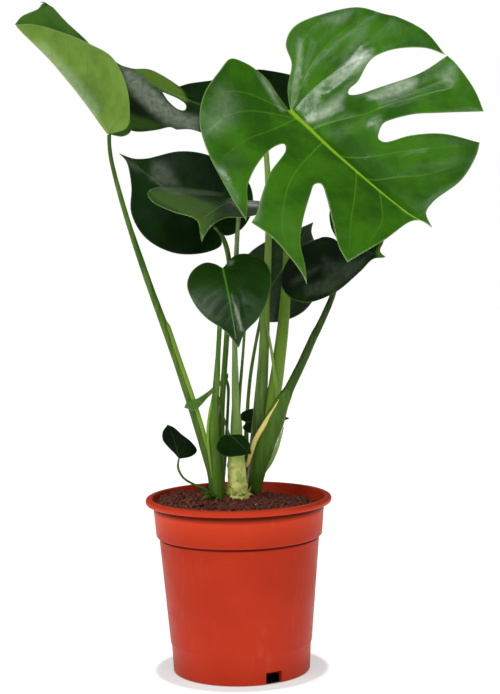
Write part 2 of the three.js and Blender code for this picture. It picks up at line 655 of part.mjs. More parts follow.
// The surface heaps up round the stems and is lumpy all over, but for its edge.
function makeSoil() {
  const solid = mergeVertices(stripped(turned(soilProfile(), SOIL.sides)), 1e-3);
  const positions = solid.attributes.position;
  const draw = seededDraws(7);
  for (let i = 0; i < positions.count; i += 1) {
    const [x, y, z] = [positions.getX(i), positions.getY(i), positions.getZ(i)];
    const lump = (draw() - 0.5) * 2 * SOIL.lump;
    if (z > SOIL.edgeZ - 0.1 && Math.hypot(x, y) < 70) {
      const heap = Math.exp(-(((x - SOIL.crownX) ** 2 + y ** 2) / (2 * SOIL.crownRadius ** 2)));
      positions.setZ(i, z + (SOIL.crownZ - SOIL.edgeZ) * heap + lump);
    }
  }
  const holes = Object.values(NECKS).map((neck) => (
    neckCylinder(neck, NECK_BOTTOM - GAP, NECK_TOP + 20, GAP)));
  return toGeometry(holes.reduce((soil, hole) => soil.subtract(hole), toSolid(solid)));
}

function stripped(geometry) {
  geometry.deleteAttribute('normal');
  geometry.deleteAttribute('uv');
  return geometry;
}

// ---------------------------------------------------------------- the plant

const surfaces = {};
const keepClear = {};
const plant = new THREE.Group();
plant.add(piece('pot', makePot(), TERRACOTTA));
plant.add(piece('soil', makeSoil(), PEAT));
for (const [name, spec] of Object.entries(LEAVES)) {
  surfaces[name] = new LeafSurface(spec);
  const flat = flatBlade(spec, surfaces[name]);
  plant.add(piece(name, bladeGeometry(spec, surfaces[name], flat), spec.material));
  keepClear[name] = toSolid(bladeGeometry(spec, surfaces[name], flat, GAP));
}
for (const name of Object.keys(STALKS)) {
  plant.add(piece(`shoot_${name}`, makeShoot(name, surfaces, keepClear), STALK));
}

export default plant;
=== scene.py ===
"""The looks of a potted Swiss cheese plant: glossy leaves, fleshy stalks, peat and a red pot.

Shapes are worked out in millimetres in the part's own frame and turned into metres at the end.
"""

import math
import random

import bpy
import numpy as np
from mathutils import Matrix, Vector, noise
from mathutils.geometry import delaunay_2d_cdt


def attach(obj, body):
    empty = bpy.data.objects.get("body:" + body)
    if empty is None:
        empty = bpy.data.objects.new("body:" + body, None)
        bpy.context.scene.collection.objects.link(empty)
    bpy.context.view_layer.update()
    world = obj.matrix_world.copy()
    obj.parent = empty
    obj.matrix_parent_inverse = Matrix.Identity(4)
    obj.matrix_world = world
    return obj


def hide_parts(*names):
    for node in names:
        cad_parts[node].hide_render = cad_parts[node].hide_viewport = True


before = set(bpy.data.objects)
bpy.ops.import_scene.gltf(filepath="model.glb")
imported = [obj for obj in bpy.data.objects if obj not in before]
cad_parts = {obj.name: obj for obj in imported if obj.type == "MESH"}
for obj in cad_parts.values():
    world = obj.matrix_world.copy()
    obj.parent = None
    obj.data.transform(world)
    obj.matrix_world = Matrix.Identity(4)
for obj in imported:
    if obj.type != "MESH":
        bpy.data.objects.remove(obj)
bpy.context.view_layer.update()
MM = 0.001
radians = math.radians

# ---- curves


def centripetal(points, per_segment=12):
    """Points on the centripetal Catmull-Rom curve through `points`, of any dimension."""
    p = np.array(points, float)
    q = np.vstack([2 * p[0] - p[1], p, 2 * p[-1] - p[-2]])
    w = np.linspace(0, 1, per_segment, endpoint=False)[:, None]
    rows = []
    for k in range(len(p) - 1):
        a, b, c, d = q[k : k + 4]
        da, db, dc = (max(np.linalg.norm(y - x), 1e-6) ** 0.5 for x, y in ((a, b), (b, c), (c, d)))
        t1 = ((b - a) / da - (c - a) / (da + db) + (c - b) / db) * db
        t2 = ((c - b) / db - (d - b) / (db + dc) + (d - c) / dc) * db
        rows.append(b + t1 * w + (3 * (c - b) - 2 * t1 - t2) * w**2 + (2 * (b - c) + t1 + t2) * w**3)
    rows.append(p[-1:])
    return np.vstack(rows)


def resampled(line, step):
    """`line` with evenly spaced points about `step` apart."""
    along = np.concatenate([[0], np.cumsum(np.linalg.norm(np.diff(line, axis=0), axis=1))])
    count = max(int(round(along[-1] / step)), 2)
    marks = np.linspace(0, along[-1], count + 1)
    return np.stack([np.interp(marks, along, line[:, i]) for i in range(line.shape[1])], 1)


def closed(loop):
    return np.vstack([loop, loop[:1]])


def offset_line(line, distance):
    """The line moved to its left."""
    d = np.gradient(line, axis=0)
    n = np.stack([-d[:, 1], d[:, 0]], 1) / np.maximum(np.linalg.norm(d, axis=1), 1e-9)[:, None]
    return line + n * distance


def inside(points, loops):
    """Which points lie within the outline and outside its holes."""
    found = np.zeros(len(points), bool)
    for loop in loops:
        u0, v0 = loop[:, 0], loop[:, 1]
        u1, v1 = np.roll(u0, -1), np.roll(v0, -1)
        for a, b, c, d in zip(u0, v0, u1, v1):
            if b != d:
                crosses = (b > points[:, 1]) != (d > points[:, 1])
                found ^= crosses & (points[:, 0] < (c - a) * (points[:, 1] - b) / (d - b) + a)
    return found


def distance_to(points, lines):
    """Each point's distance to the nearest of some lines, and how far along it that is."""
    best = np.full(len(points), 1e9)
    where = np.zeros(len(points))
    for line in lines:
        lengths = np.linalg.norm(np.diff(line, axis=0), axis=1)
        start, total = 0.0, max(lengths.sum(), 1e-9)
        for a, b, length in zip(line[:-1], line[1:], lengths):
            d = b - a
            t = np.clip(((points - a) @ d) / max(length**2, 1e-12), 0, 1)
            gap = np.linalg.norm(points - a - t[:, None] * d, axis=1)
            nearer = gap < best
            best[nearer] = gap[nearer]
            where[nearer] = (start + t[nearer] * length) / total
            start += length
    return best, where


def smooth(low, high, x):
    """0 up to `low`, 1 from `high`, and a soft step between."""
    t = np.clip((x - low) / (high - low), 0, 1)
    return t * t * (3 - 2 * t)


# ---- the leaves' surfaces


def walk_bend(start, rate, distance):
    """Walks a circular bend: (along the start line, across it, the angle reached)."""
    rate = np.where(np.abs(rate) < 1e-9, 1e-9, rate)
    end = start + rate * distance
    return (np.sin(end) - np.sin(start)) / rate, (np.cos(end) - np.cos(start)) / rate, end


class LeafSurface:
    """A blade's middle surface: u runs from the stalk's joint to the tip and v across, to the left."""

    def __init__(self, spec):
        self.base = np.array(spec["base"], float)
        chord = np.array(spec["tip"], float) - self.base
        self.ahead = chord / np.linalg.norm(chord)
        up = np.array([0, 0, 1.0]) - self.ahead * self.ahead[2]
        up /= np.linalg.norm(up)
        level = np.cross(up, self.ahead)
        turn = radians(spec.get("roll", 0))
        self.face = up * math.cos(turn) + level * math.sin(turn)
        self.side = np.cross(self.face, self.ahead)
        self.bend = radians(spec.get("droop", 0)) or 1e-6
        self.length = np.linalg.norm(chord) * (self.bend / 2) / math.sin(self.bend / 2)
        self.rear_rate = radians(spec.get("rear", 0)) / (self.length / 2)
        drip = spec.get("drip", (20, 0))
        self.drip_rate = radians(drip[1]) / drip[0]
        self.fold = [radians(a) for a in spec.get("fold", (0, 0))]
        self.curl = [radians(a) / spec.get("half", 50) for a in spec.get("curl", (0, 0))]

    def at(self, uv):
        """Where each (u, v) point lies: the midrib bends behind the joint, along it and past the tip."""
        u, v = uv[:, 0], uv[:, 1]
        start = -self.bend / 2
        a0, b0, t0 = walk_bend(start, self.rear_rate, np.maximum(-u, 0))
        a1, b1, t1 = walk_bend(start, self.bend / self.length, np.clip(u, 0, self.length))
        a2, b2, t2 = walk_bend(self.bend / 2, self.drip_rate, np.maximum(u - self.length, 0))
        rear, drip = u < 0, u > self.length
        along = np.where(rear, -a0, a1 + np.where(drip, a2, 0))[:, None]
        across = np.where(rear, -b0, b1 + np.where(drip, b2, 0))[:, None]
        angle = np.where(rear, t0, np.where(drip, t2, t1))[:, None]
        upward = np.sin(angle) * self.ahead + np.cos(angle) * self.face
        left = v >= 0
        out, lift, _ = walk_bend(np.where(left, *self.fold), np.where(left, *self.curl), np.abs(v))
        out = (np.where(left, 1.0, -1.0) * out)[:, None]
        centre = self.base + along * self.ahead + across * self.face
        return centre + out * self.side - lift[:, None] * upward

    def normals(self, uv):
        d = 0.2  # a short step each way along u and v
        du = self.at(uv + (d, 0)) - self.at(uv - (d, 0))
        dv = self.at(uv + (0, d)) - self.at(uv - (0, d))
        n = np.cross(du, dv)
        return n / np.linalg.norm(n, axis=1)[:, None]


# ---- the leaves

# Side veins of a heart-shaped leaf: (where each leaves the midrib, from 0 at the joint to 1 at
# the tip, its first angle from the midrib, how far it turns towards the tip), for each half.
HEART_VEINS = [
    (0.0, 150, 70), (0.0, 118, 55), (0.02, 88, 45), (0.14, 68, 34), (0.3, 58, 28), (0.47, 52, 24),
    (0.64, 46, 20),
]

# base is the stalk's joint and tip the far end of the straight midrib. Angles are in degrees:
# roll turns the blade about its midrib, droop bends the midrib, rear its part behind the joint
# and drip the tip, over a length; fold and curl lower the left and right halves. half is the
# half width, rib the midrib's half width, puff the quilting, wave the waviness, swell the
# midrib's height underneath and fine the mesh's step. Lines are (u, v) points. Each run of the
# outline starts in a corner, at the end of the run before it, and the first at the end of the
# last. traced gives the side veins of the split leaf. A crest is (height, width, line). The pale
# areas and the sheen areas are painted, each as (weight, soft edge, area): the pale ones are
# partly paler green and partly painted light, the sheen ones are painted highlights and sheen.
BLADE = dict(fold=(6, 6), thickness=0.7, swell=0.8, rib=1.3, puff=0.12, look="dark")
SMALL = dict(fold=(6, 6), thickness=0.6, swell=0.3, rib=0.7, puff=0.3, look="dark")

LEAVES = {
    "leaf_fenestrated_front": dict(
        base=(53, -20, 506), tip=(171, -76, 401), roll=-39, droop=4, rear=65, fold=(12, 12),
        curl=(4, -18), half=110, thickness=0.8, swell=1.6, rib=2.7, puff=0.8, wave=0.4,
        look="bright", fine=2.6,
        midrib=[(0, 0), (25, -2.5), (70, -7), (110, -8), (140, -7), (158, -3), (167, 0)],
        outline=[
            [(-23, 4), (-36, 5), (-50, 0), (-64, -12), (-73, -25), (-70, -40), (-60, -66),
             (-41, -84), (-6, -100), (39, -118), (61, -125)],
            [(49, -111), (37, -98), (26, -73), (22, -48), (25, -38), (31, -43), (40, -73),
             (51, -95), (63, -116), (65, -123)],
            [(86, -121), (114, -125), (128, -128.5), (138, -133)],
            [(124, -120.5), (107, -108), (94, -91), (78, -63), (73, -52), (76, -47), (91, -56),
             (109, -70), (131, -86), (146, -92)],
            [(151, -50), (152, -10), (157, -2), (167, 0)],
            [(154, 7), (151, 20), (154, 53), (147, 81), (141, 92)],
            [(112, 76), (93, 55), (81, 34), (75, 33), (71, 38), (68, 48), (79, 71), (97, 91),
             (123, 118)],
            [(103, 129), (73, 138), (62.5, 139)],
            [(57, 110), (42, 77), (30, 53), (25, 49), (22, 53), (22, 64), (16, 85), (16, 96),
             (23, 112), (43, 132), (60.5, 138.5)],
            [(29, 145), (-15, 134), (-48, 117), (-64, 83), (-67, 52), (-56, 38), (-36, 33),
             (-19, 15), (0, 0)],
        ],
        traced=[
            [(0, 1), (-13, 27), (-25, 53), (-31, 77), (-33, 102), (-31, 122)],
            [(1, 2), (-2, 27), (0, 58), (9, 86), (20, 108), (34, 126)],
            [(0, 1), (-12, 14), (-28, 32), (-45, 50), (-56, 68), (-59, 84)],
            [(26, -2), (36, 20), (49, 43), (61, 70), (79, 103), (92, 124)],
            [(62, -6), (78, 9), (90, 25), (100, 40), (118, 62), (132, 79)],
            [(96, -7), (112, 14), (128, 34), (142, 60)],
            [(0, -1), (-15, -8), (-30, -18), (-44, -34), (-52, -52), (-52, -66)],
            [(9, -1), (8, -20), (6, -38), (1, -62), (2, -90)],
            [(10, -2), (-6, -16), (-22, -36), (-30, -60), (-28, -80)],
            [(43, -5), (47, -26), (50, -42), (58, -68), (72, -91), (86, -108), (104, -121)],
            [(84, -7), (94, -20), (104, -34), (120, -58), (136, -78)],
            [(112, -8), (124, -20), (136, -34), (143, -56)],
        ],
        crests=[
            (1.7, 7, [(12, 38), (13, 56), (12, 74), (9, 94)]),
            (1.6, 7, [(24, 6), (30, 20), (36, 34)]),
            (1.9, 8, [(50, 62), (60, 80), (68, 100), (76, 118)]),
            (1, 5, [(72, 44), (66, 50), (64, 40)]),
            (0.6, 2.6, [(82, 14), (93, 29), (103, 44), (110, 54)]),
            (1.2, 5, [(-18, 30), (-30, 42), (-42, 56)]),
        ],
        painted_sheen=[
            (0.6, 5, [(7, 42), (2, 64), (3, 83), (9, 98), (14, 92), (15, 76), (12, 60), (10, 46)]),
            (0.46, 5, [(17, 3), (17, 15), (19, 34), (22, 48), (26, 36), (28, 20), (24, 8)]),
            (0.46, 5, [(42, 66), (44, 80), (50, 95), (58, 102), (64, 92), (58, 77), (50, 62)]),
            (0.26, 5, [(71, 116), (70, 123), (70, 135), (76, 136), (83, 125), (82, 116)]),
            (0.2, 5, [(-60, 81), (-54, 99), (-47, 110), (-42, 100), (-45, 91), (-54, 83)]),
            (0.1, 5, [(-21, 99), (-17, 115), (-6, 104), (0, 71), (-5, 70)]),
            (0.36, 3, [(-3, 4), (-17, 21), (-37, 40), (-53, 51), (-50, 54), (-33, 43), (-17, 26),
             (-3, 8)]),
            (0.34, 3, [(63, 39), (61, 43), (65, 48), (67, 40)]),
            (0.13, 12, [(-46, -68), (-59, -49), (-50, -39), (-35, -41), (-20, -58), (-19, -77),
             (-26, -84)]),
            (0.3, 3, [(-48, -1), (-32, 3), (-4, -4), (-4, -7), (-31, -2)]),
        ],
    ),
    "leaf_fenestrated_back": dict(
        base=(30, 88, 504), tip=(-115, 85, 569), roll=50, droop=-35, fold=(-10, 5),
        curl=(-30, -10), half=70, thickness=0.8, swell=1.4, rib=2.2, puff=0.15, look="dark",
        fine=2.6,
        outline=[
            [(-14, -3), (-30, -14), (-38, -34), (-36, -54), (-24, -69), (-7, -72), (12, -72),
             (25, -69), (43, -52), (60, -36), (80, -20), (88, -11)],
            [(104, -14), (121, -13), (137, -2), (149, 2), (161, 0)],
            [(155, 18), (145, 38), (130, 50), (110, 53), (92, 43), (80, 34), (74, 34)],
            [(62, 29), (43, 28), (20, 24), (-4, 18), (-14, 10), (-8, 2), (0, 0)],
        ],
        holes=[[(101, 3.5), (83, 3), (75, 6), (74, 12), (80, 14), (92, 10)]],
        crests=[(1.8, 9, [(150, 2), (129, 9), (111, 14), (93, 20), (75, 26), (59, 29), (40, 28)])],
        pale_and_lit=[
            (1, 2, [(140, -3), (122, -18), (104, -18), (82, -7), (74, 3), (88, 3), (104, 2.5),
             (122, 0)]),
            (0.28, 3, [(130, 44), (114, 53), (94, 45), (82, 35), (98, 36), (116, 39)]),
        ],
        painted_sheen=[(0.32, 5, [(148, 2), (130, 0), (108, 5), (88, 14), (73, 16), (60, 14), (55, 28),
                (73, 32), (85, 32), (101, 28), (120, 22), (136, 14)])],
    ),
    "leaf_folded_left": dict(
        base=(-109, -4, 490), tip=(-193, 10, 591), roll=-22, droop=14, fold=(58, 58),
        curl=(-15, -15), half=55, thickness=0.8, swell=1, rib=1.6, puff=0.9, look="young",
        fine=2.2,
        outline=[
            [(-6, -12), (-4, -26), (14, -40), (45, -54), (86, -64), (112, -61), (130, -64)],
            [(137, -58), (134, -40), (135, -14), (132, 0)],
            [(120, 11), (95, 26), (71, 38), (48, 47), (25, 42), (7, 31), (-5, 18), (0, 0)],
        ],
        painted_sheen=[(0.2, 5, [(100, -6), (60, -8), (25, -6), (18, 0), (25, 6), (60, 8), (100, 6),
                (108, 0)])],
    ),
    "leaf_heart_left": dict(BLADE,
        base=(-17, 15, 405), tip=(-99, 38, 471), roll=70, droop=10, drip=(8, 10), fold=(5, 5),
        half=55, rib=1, puff=0.06, fine=2.4,
        outline=[
            [(-12, 0), (-20, -13), (-17, -34), (0, -51), (22, -53), (45, -49), (70, -35),
             (91, -11), (101, -4), (115, 0)],
            [(104, 2), (84, 18), (67, 38), (41, 48), (12, 42), (-10, 22), (-15, 8), (0, 0)],
        ],
        crests=[(2, 17, [(54, -44), (52, -22), (50, 0)])],
        painted_sheen=[
            (0.09, 5, [(84, -13), (74, -20), (64, -16), (50, -10), (63, 0), (75, 1)]),
            (0.07, 5, [(106, 1), (100, -2), (88, 2), (94, 5)]),
        ],
    ),
    "leaf_drooping_left": dict(BLADE,
        base=(7, -25, 429), tip=(-25, -88, 412), roll=12, droop=25, drip=(25, 60), fold=(4, 4),
        half=60, puff=0.25, look="mid", fine=2.2,
        outline=[
            [(-12, -8), (-16, -24), (-6, -42), (15, -54), (38, -64), (53, -65), (67, -53),
             (74, -30), (76, -6), (96, 8)],
            [(78, 12), (64, 18), (59, 32), (44, 42), (18, 44), (-4, 36), (-14, 20), (-10, 6),
             (0, 0)],
        ],
        pale_and_lit=[(0.38, 5, [(50, -70), (64, -50), (74, -20), (96, 8), (70, 10), (44, -4), (36, -36),
                (44, -56)])],
        painted_sheen=[(0.12, 5, [(41, -59), (25, -57), (12, -39), (-15, -21), (11, -14), (31, -29),
                (42, -44)])],
    ),
    "leaf_heart_front": dict(BLADE,
        base=(-10, -35, 369), tip=(1, -62, 306), roll=-14, droop=24, drip=(9, 10), half=40,
        puff=0.25, look="mid", fine=1.8,
        outline=[
            [(-5, -6), (-7, -15), (1, -28), (15, -35), (32, -32), (46, -24), (60, -9), (76, 1)],
            [(64, 8), (53, 22), (38, 33), (19, 40), (2, 38), (-9, 27), (-11, 14), (0, 0)],
        ],
        crests=[(1, 3.4, [(26, 5), (40, 6.5), (56, 4)])],
        painted_sheen=[
            (0.3, 2, [(-2, 5), (-6, 8), (-5, 11), (-2, 9)]),
            (0.6, 1.2, [(36, 3.6), (42, 5.4), (52, 6), (62, 7), (61, 5.4), (50, 4)]),
            (0.05, 5, [(30, -29), (36, -19), (49, -18), (44, -28)]),
        ],
    ),
    "leaf_folded_right": dict(BLADE,
        base=(94, -25, 389), tip=(124, -70, 378), roll=-50, droop=15, drip=(12, -20), fold=(25, 4),
        curl=(0, -10), half=60, fine=2.2,
        outline=[
            [(-12, 3), (-30, 2), (-44, -5), (-54, -16), (-55, -30), (-46, -49), (-27, -60),
             (-4, -65), (21, -62), (42, -45), (51, -20), (54, -4), (66, 1)],
            [(56, 5), (56, 14), (42, 30), (16, 40), (-14, 38), (-30, 28), (-22, 14), (0, 0)],
        ],
        pale_and_lit=[(1, 2.5, [(53, 2), (54, 13), (58, 6), (68, 1), (58, -2)])],
        painted_sheen=[
            (0.065, 5, [(-9, -17), (28, -20), (47, -4), (49, -21), (40, -46), (10, -59), (-1, -50),
             (19, -38)]),
            (0.07, 5, [(-27, -48), (-14, -35), (1, -26), (2, -30), (-9, -42), (-18, -51)]),
        ],
    ),
    "leaf_round_back": dict(BLADE,
        base=(28, 58, 336), tip=(72, 72, 404), roll=-50, droop=10, drip=(10, 10), half=50,
        fine=2.4,
        outline=[
            [(-12, -3), (-17, -13), (-8, -30), (9, -43), (31, -44), (53, -32), (71, -14), (79, -5),
             (88, -1)],
            [(78, 6), (62, 20), (33, 36), (7, 38), (-12, 30), (-20, 16), (-10, 4), (0, 0)],
        ],
        painted_sheen=[(0.05, 5, [(-30, -60), (100, -60), (100, 60), (-30, 60)])],
    ),
    "leaf_low_left": dict(SMALL,
        base=(-53, -14, 197), tip=(-61, -22, 228), roll=90, droop=8, drip=(4, 10), half=16,
        fine=1.3,
        outline=[
            [(-4, -14), (-2, -21), (8, -18), (20, -10), (30, -4), (35, 1)],
            [(32, 10), (26, 13), (16, 9), (6, 3), (0, 0)],
        ],
    ),
    "leaf_low_centre": dict(SMALL,
        base=(-7, -22, 219), tip=(10, -32, 204), roll=-35, droop=12, drip=(4, 10), fold=(4, 4),
        half=20, fine=1.3,
        outline=[
            [(-3, -5), (1, -18), (7, -22), (14, -21), (22, -10), (27, 1)],
            [(16, 8), (8, 8), (0, 0)],
        ],
    ),
    "leaf_narrow_left": dict(
        base=(-9, 13, 267), tip=(-46, -24, 238), roll=20, droop=-6, fold=(30, 30), half=12,
        thickness=0.7, swell=0.2, rib=0.6, puff=0.1, look="narrow", fine=1.2,
        outline=[
            [(8, -2.4), (24, -2.6), (38, -4.5), (49, -8), (55, -6)],
            [(52, 0), (53, 7), (44, 6.5), (32, 3.5), (18, 2.6), (7, 2.4), (0, 0)],
        ],
    ),
    "leaf_small_back": dict(SMALL,
        base=(9, 51, 221), tip=(47, 59, 223), roll=-40, droop=12, half=18, fine=1.5,
        outline=[
            [(-5, -6), (-2, -14), (10, -17), (24, -12), (34, -4), (42, 0)],
            [(34, 5), (24, 12), (10, 15), (-2, 12), (-5, 5), (0, 0)],
        ],
    ),
    "leaf_small_centre": dict(SMALL,
        base=(11, 9, 334), tip=(19, 2, 356), roll=-30, droop=12, half=14, fine=1.5,
        outline=[
            [(-4, -4), (-2, -9), (7, -11), (17, -7), (25, 0)],
            [(17, 7), (7, 10), (-2, 8), (-4, 4), (0, 0)],
        ],
    ),
}

# ---- meshes

EDGE_BAND = 1.1  # width of the pale line along a blade's edge


def add_object(name, points, faces, materials=(), attributes=None, face_material=None, soft=True):
    """A mesh from points in millimetres, with values per point for its material."""
    mesh = bpy.data.meshes.new(name)
    mesh.from_pydata((np.asarray(points) * MM).tolist(), [], [list(map(int, f)) for f in faces])
    for key, values in (attributes or {}).items():
        layer = mesh.attributes.new(key, "FLOAT", "POINT")
        layer.data.foreach_set("value", np.asarray(values, np.float32))
    for m in materials:
        mesh.materials.append(m)
    if face_material is not None:
        mesh.polygons.foreach_set("material_index", np.asarray(face_material, np.int32))
    mesh.polygons.foreach_set("use_smooth", [soft] * len(mesh.polygons))
    mesh.validate()
    mesh.update()
    obj = bpy.data.objects.new(name, mesh)
    bpy.context.scene.collection.objects.link(obj)
    return obj


def settle(obj, node):
    """The piece rides with the one body and stands for that CAD node."""
    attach(obj, "root")
    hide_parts(node)


def lumps(points, scale, seed):
    """Smooth noise at each point, from about -1 to 1."""
    shift = Vector((seed * 17.3, seed * 5.1, seed * 9.7))
    return np.array([noise.noise(Vector(p) / scale + shift) for p in points.tolist()])


def grown_veins(surface, loops, half):
    """Side veins that leave the midrib and bend towards the tip until they near the edge."""
    step, most, bend_length = 2, 120, 1.1 * half
    veins = []
    for side in (1, -1):
        for start, first, turn in HEART_VEINS:
            u, v, angle = start * surface.length, 0.0, radians(first)
            line = [(u, v)]
            for _ in range(most):
                u += step * math.cos(angle)
                v += step * math.sin(angle) * side
                angle -= radians(turn) * step / bend_length
                if not inside(np.array([[u, v]]), loops)[0]:
                    break
                line.append((u, v))
            if len(line) > 3:
                veins.append(np.array(line[:-1], float))
    return veins


def filling_points(loops, fixed, fine):
    """A ring of points along each edge and a triangular grid inside, clear of the fixed points."""
    low, high = np.vstack(loops).min(0), np.vstack(loops).max(0)
    grid = []
    for k, row in enumerate(np.arange(low[1], high[1], fine * 0.87)):
        u = np.arange(low[0] + (k % 2) * fine / 2, high[0], fine)
        grid.append(np.stack([u, np.full(len(u), row)], 1))
    grid = np.vstack(grid)
    grid = grid[inside(grid, loops)]
    rims = [closed(loop) for loop in loops]
    ring = np.vstack([offset_line(rim, side * EDGE_BAND)[:-1] for rim in rims for side in (-1, 1)])
    ring = ring[inside(ring, loops)]
    ring = ring[distance_to(ring, rims)[0] > 0.9 * EDGE_BAND]
    taken = np.vstack([fixed, ring])
    near = np.array([np.min(np.sum((taken - g) ** 2, axis=1)) for g in grid])
    return np.vstack([ring, grid[near > (fine * 0.6) ** 2]])


def flat_mesh(loops, lines, fine):
    """Triangles that fill the outline and follow the midrib and the veins."""
    points, edges = [], []

    def add_line(line, is_loop):
        start = len(points)
        points.extend(line.tolist())
        last = len(line) if is_loop else len(line) - 1
        edges.extend((start + i, start + (i + 1) % len(line)) for i in range(last))

    for loop in loops:
        add_line(loop, True)
    rims = [closed(loop) for loop in loops]
    for line in lines:
        keep = inside(line, loops) & (distance_to(line, rims)[0] > fine * 0.5)
        turns = np.where(np.diff(keep.astype(int)) != 0)[0] + 1
        for run in np.split(np.arange(len(line)), turns):
            if len(run) > 1 and keep[run[0]]:
                add_line(line[run], False)
    free = filling_points(loops, np.array(points), fine)
    everything = [Vector(p) for p in points] + [Vector(p) for p in free]
    verts, _, faces, *_ = delaunay_2d_cdt(everything, edges, [], 0, 1e-5)
    uv = np.array([(p.x, p.y) for p in verts])
    triangles = np.array([f for f in faces if len(f) == 3])
    return uv, triangles[inside(uv[triangles].mean(1), loops)]


def boundary_edges(triangles):
    directed = np.vstack([triangles[:, [0, 1]], triangles[:, [1, 2]], triangles[:, [2, 0]]])
    known = {(a, b) for a, b in directed.tolist()}
    return [(a, b) for a, b in known if (b, a) not in known]


def marked_area(uv, patches):
    """Each patch's weight well inside it, fading to nothing over its soft edge."""
    value = np.zeros(len(uv))
    for weight, soft, area in patches:
        loop = np.array(area, float)
        gap = distance_to(uv, [closed(loop)])[0]
        depth = np.where(inside(uv, [loop]), gap, -gap)
        value = np.maximum(value, weight * smooth(-soft, soft, depth))
    return value


def leaf_lines(surface, spec, fine):
    """The outline with its holes, the side veins and the midrib, as lines in (u, v)."""
    runs = spec["outline"]
    runs = [runs[k - 1][-1:] + run for k, run in enumerate(runs)]
    loops = [np.vstack([resampled(centripetal(run), fine * 0.6)[:-1] for run in runs])]
    for hole in spec.get("holes", []):
        loops.append(resampled(centripetal(hole + hole[:1]), fine * 0.5)[:-1])
    if "traced" in spec:
        veins = [centripetal(line, 8) for line in spec["traced"]]
    else:
        veins = grown_veins(surface, loops, spec["half"])
    veins = [resampled(line, fine * 0.8) for line in veins]
    midrib = centripetal(spec.get("midrib", [(0, 0), (surface.length, 0)]))
    return loops, veins, resampled(midrib, fine * 0.8)


def relief(spec, uv, middle, seed, edge, vein_gap):
    """How far the blade rises: quilted between its veins, gently waved, and raised at crests."""
    reach = 0.12 * spec["half"] + 1.5
    puff = spec["puff"] * (1 - np.exp(-((vein_gap / reach) ** 2)) - 0.5)
    puff += spec.get("wave", 0.6) * lumps(middle, 26, seed) * smooth(0, 10, edge)
    lift = puff * smooth(0, 6, edge)
    for height, width, line in spec.get("crests", []):
        away = distance_to(uv, [np.array(line, float)])[0]
        lift += height * np.exp(-((away / width) ** 2))
    return lift


def make_leaf(name, spec, materials):
    """A closed blade: its top, its underside and the narrow edge between them."""
    surface = LeafSurface(spec)
    fine = spec["fine"] * 1
    loops, veins, midrib = leaf_lines(surface, spec, fine)
    rib = spec["rib"]
    vein_width = 0.3 * rib + 0.15
    beside = [offset_line(line, s * vein_width) for line in veins for s in (-1, 1)]
    taper = 1 - 0.8 * np.linspace(0, 1, len(midrib))[:, None]
    ribs = [offset_line(midrib, s * rib * taper) for s in (-1.15, -0.55, 0, 0.55, 1.15)]
    uv, triangles = flat_mesh(loops, ribs + veins + beside, fine)

    edge, _ = distance_to(uv, [closed(loop) for loop in loops])
    vein_gap, along = distance_to(uv, veins)
    rib_gap, ahead = distance_to(uv, [midrib])
    rib_mask = (1 - smooth(0.5, 1.15, rib_gap / (rib * (1 - 0.8 * ahead)))) * (ahead < 0.97)
    vein_mask = (1 - smooth(0.1, 1.0, vein_gap / vein_width)) * (1 - 0.75 * along)
    middle, normal = surface.at(uv), surface.normals(uv)
    seed = len(name) + int(abs(spec["base"][0]))
    lift = relief(spec, uv, middle, seed, edge, np.minimum(vein_gap, rib_gap))
    middle = middle + normal * lift[:, None]

    half = spec["thickness"] / 2 * (0.55 + 0.45 * smooth(0, 2.5, edge))
    off_edge = smooth(0, 3, edge)
    ridge = 0.22 * rib * rib_mask * off_edge
    groove = 0.15 * spec["puff"] * vein_mask * off_edge
    under = spec["swell"] * (1 - ahead) * np.exp(-((uv[:, 1] / 4) ** 2)) * (uv[:, 0] >= 0)
    top = middle + normal * (half + ridge - groove)[:, None]
    bottom = middle - normal * (half + under + 0.25 * vein_mask * off_edge)[:, None]

    n = len(uv)
    rims = boundary_edges(triangles)
    faces = triangles.tolist() + (triangles[:, ::-1] + n).tolist()
    faces += [(b, a, a + n, b + n) for a, b in rims]
    index = [0] * len(triangles) + [1] * len(triangles) + [0] * len(rims)
    sheen_sides = (1, spec["look"] == "young")
    attributes = {
        "vein": np.tile(vein_mask, 2),
        "rib": np.tile(rib_mask, 2),
        "edge": np.outer((0.4, 1.0), 1 - smooth(0.1, EDGE_BAND, edge)).ravel(),
        # Painted areas: a pale green that is partly paler tissue and partly painted light, and painted
        # highlights and sheen on the top, and underneath too on a young leaf.
        "pale_and_lit": np.tile(marked_area(uv, spec.get("pale_and_lit", [])), 2),
        "painted_sheen": np.outer(sheen_sides, marked_area(uv, spec.get("painted_sheen", []))).ravel(),
    }
    points = np.vstack([top, bottom])
    return add_object(name + "_blade", points, faces, materials, attributes, index), surface


# ---- materials


def srgb(r, g, b):
    def linear(c):
        c /= 255
        return c / 12.92 if c <= 0.04045 else ((c + 0.055) / 1.055) ** 2.4

    return (linear(r), linear(g), linear(b), 1.0)


class Nodes:
    """A node tree, emptied, with a short call that adds a node."""

    def __init__(self, owner):
        owner.use_nodes = True
        self.tree = owner.node_tree
        self.tree.nodes.clear()

    def feed(self, socket, value):
        """Links an output to the socket, or sets the socket's own value."""
        if isinstance(value, bpy.types.NodeSocket):
            self.tree.links.new(value, socket)
        else:
            socket.default_value = value

    def add(self, kind, **inputs):
        node = self.tree.nodes.new(kind)
        for key, value in inputs.items():
            self.feed(node.inputs[key.replace("_", " ")], value)
        return node


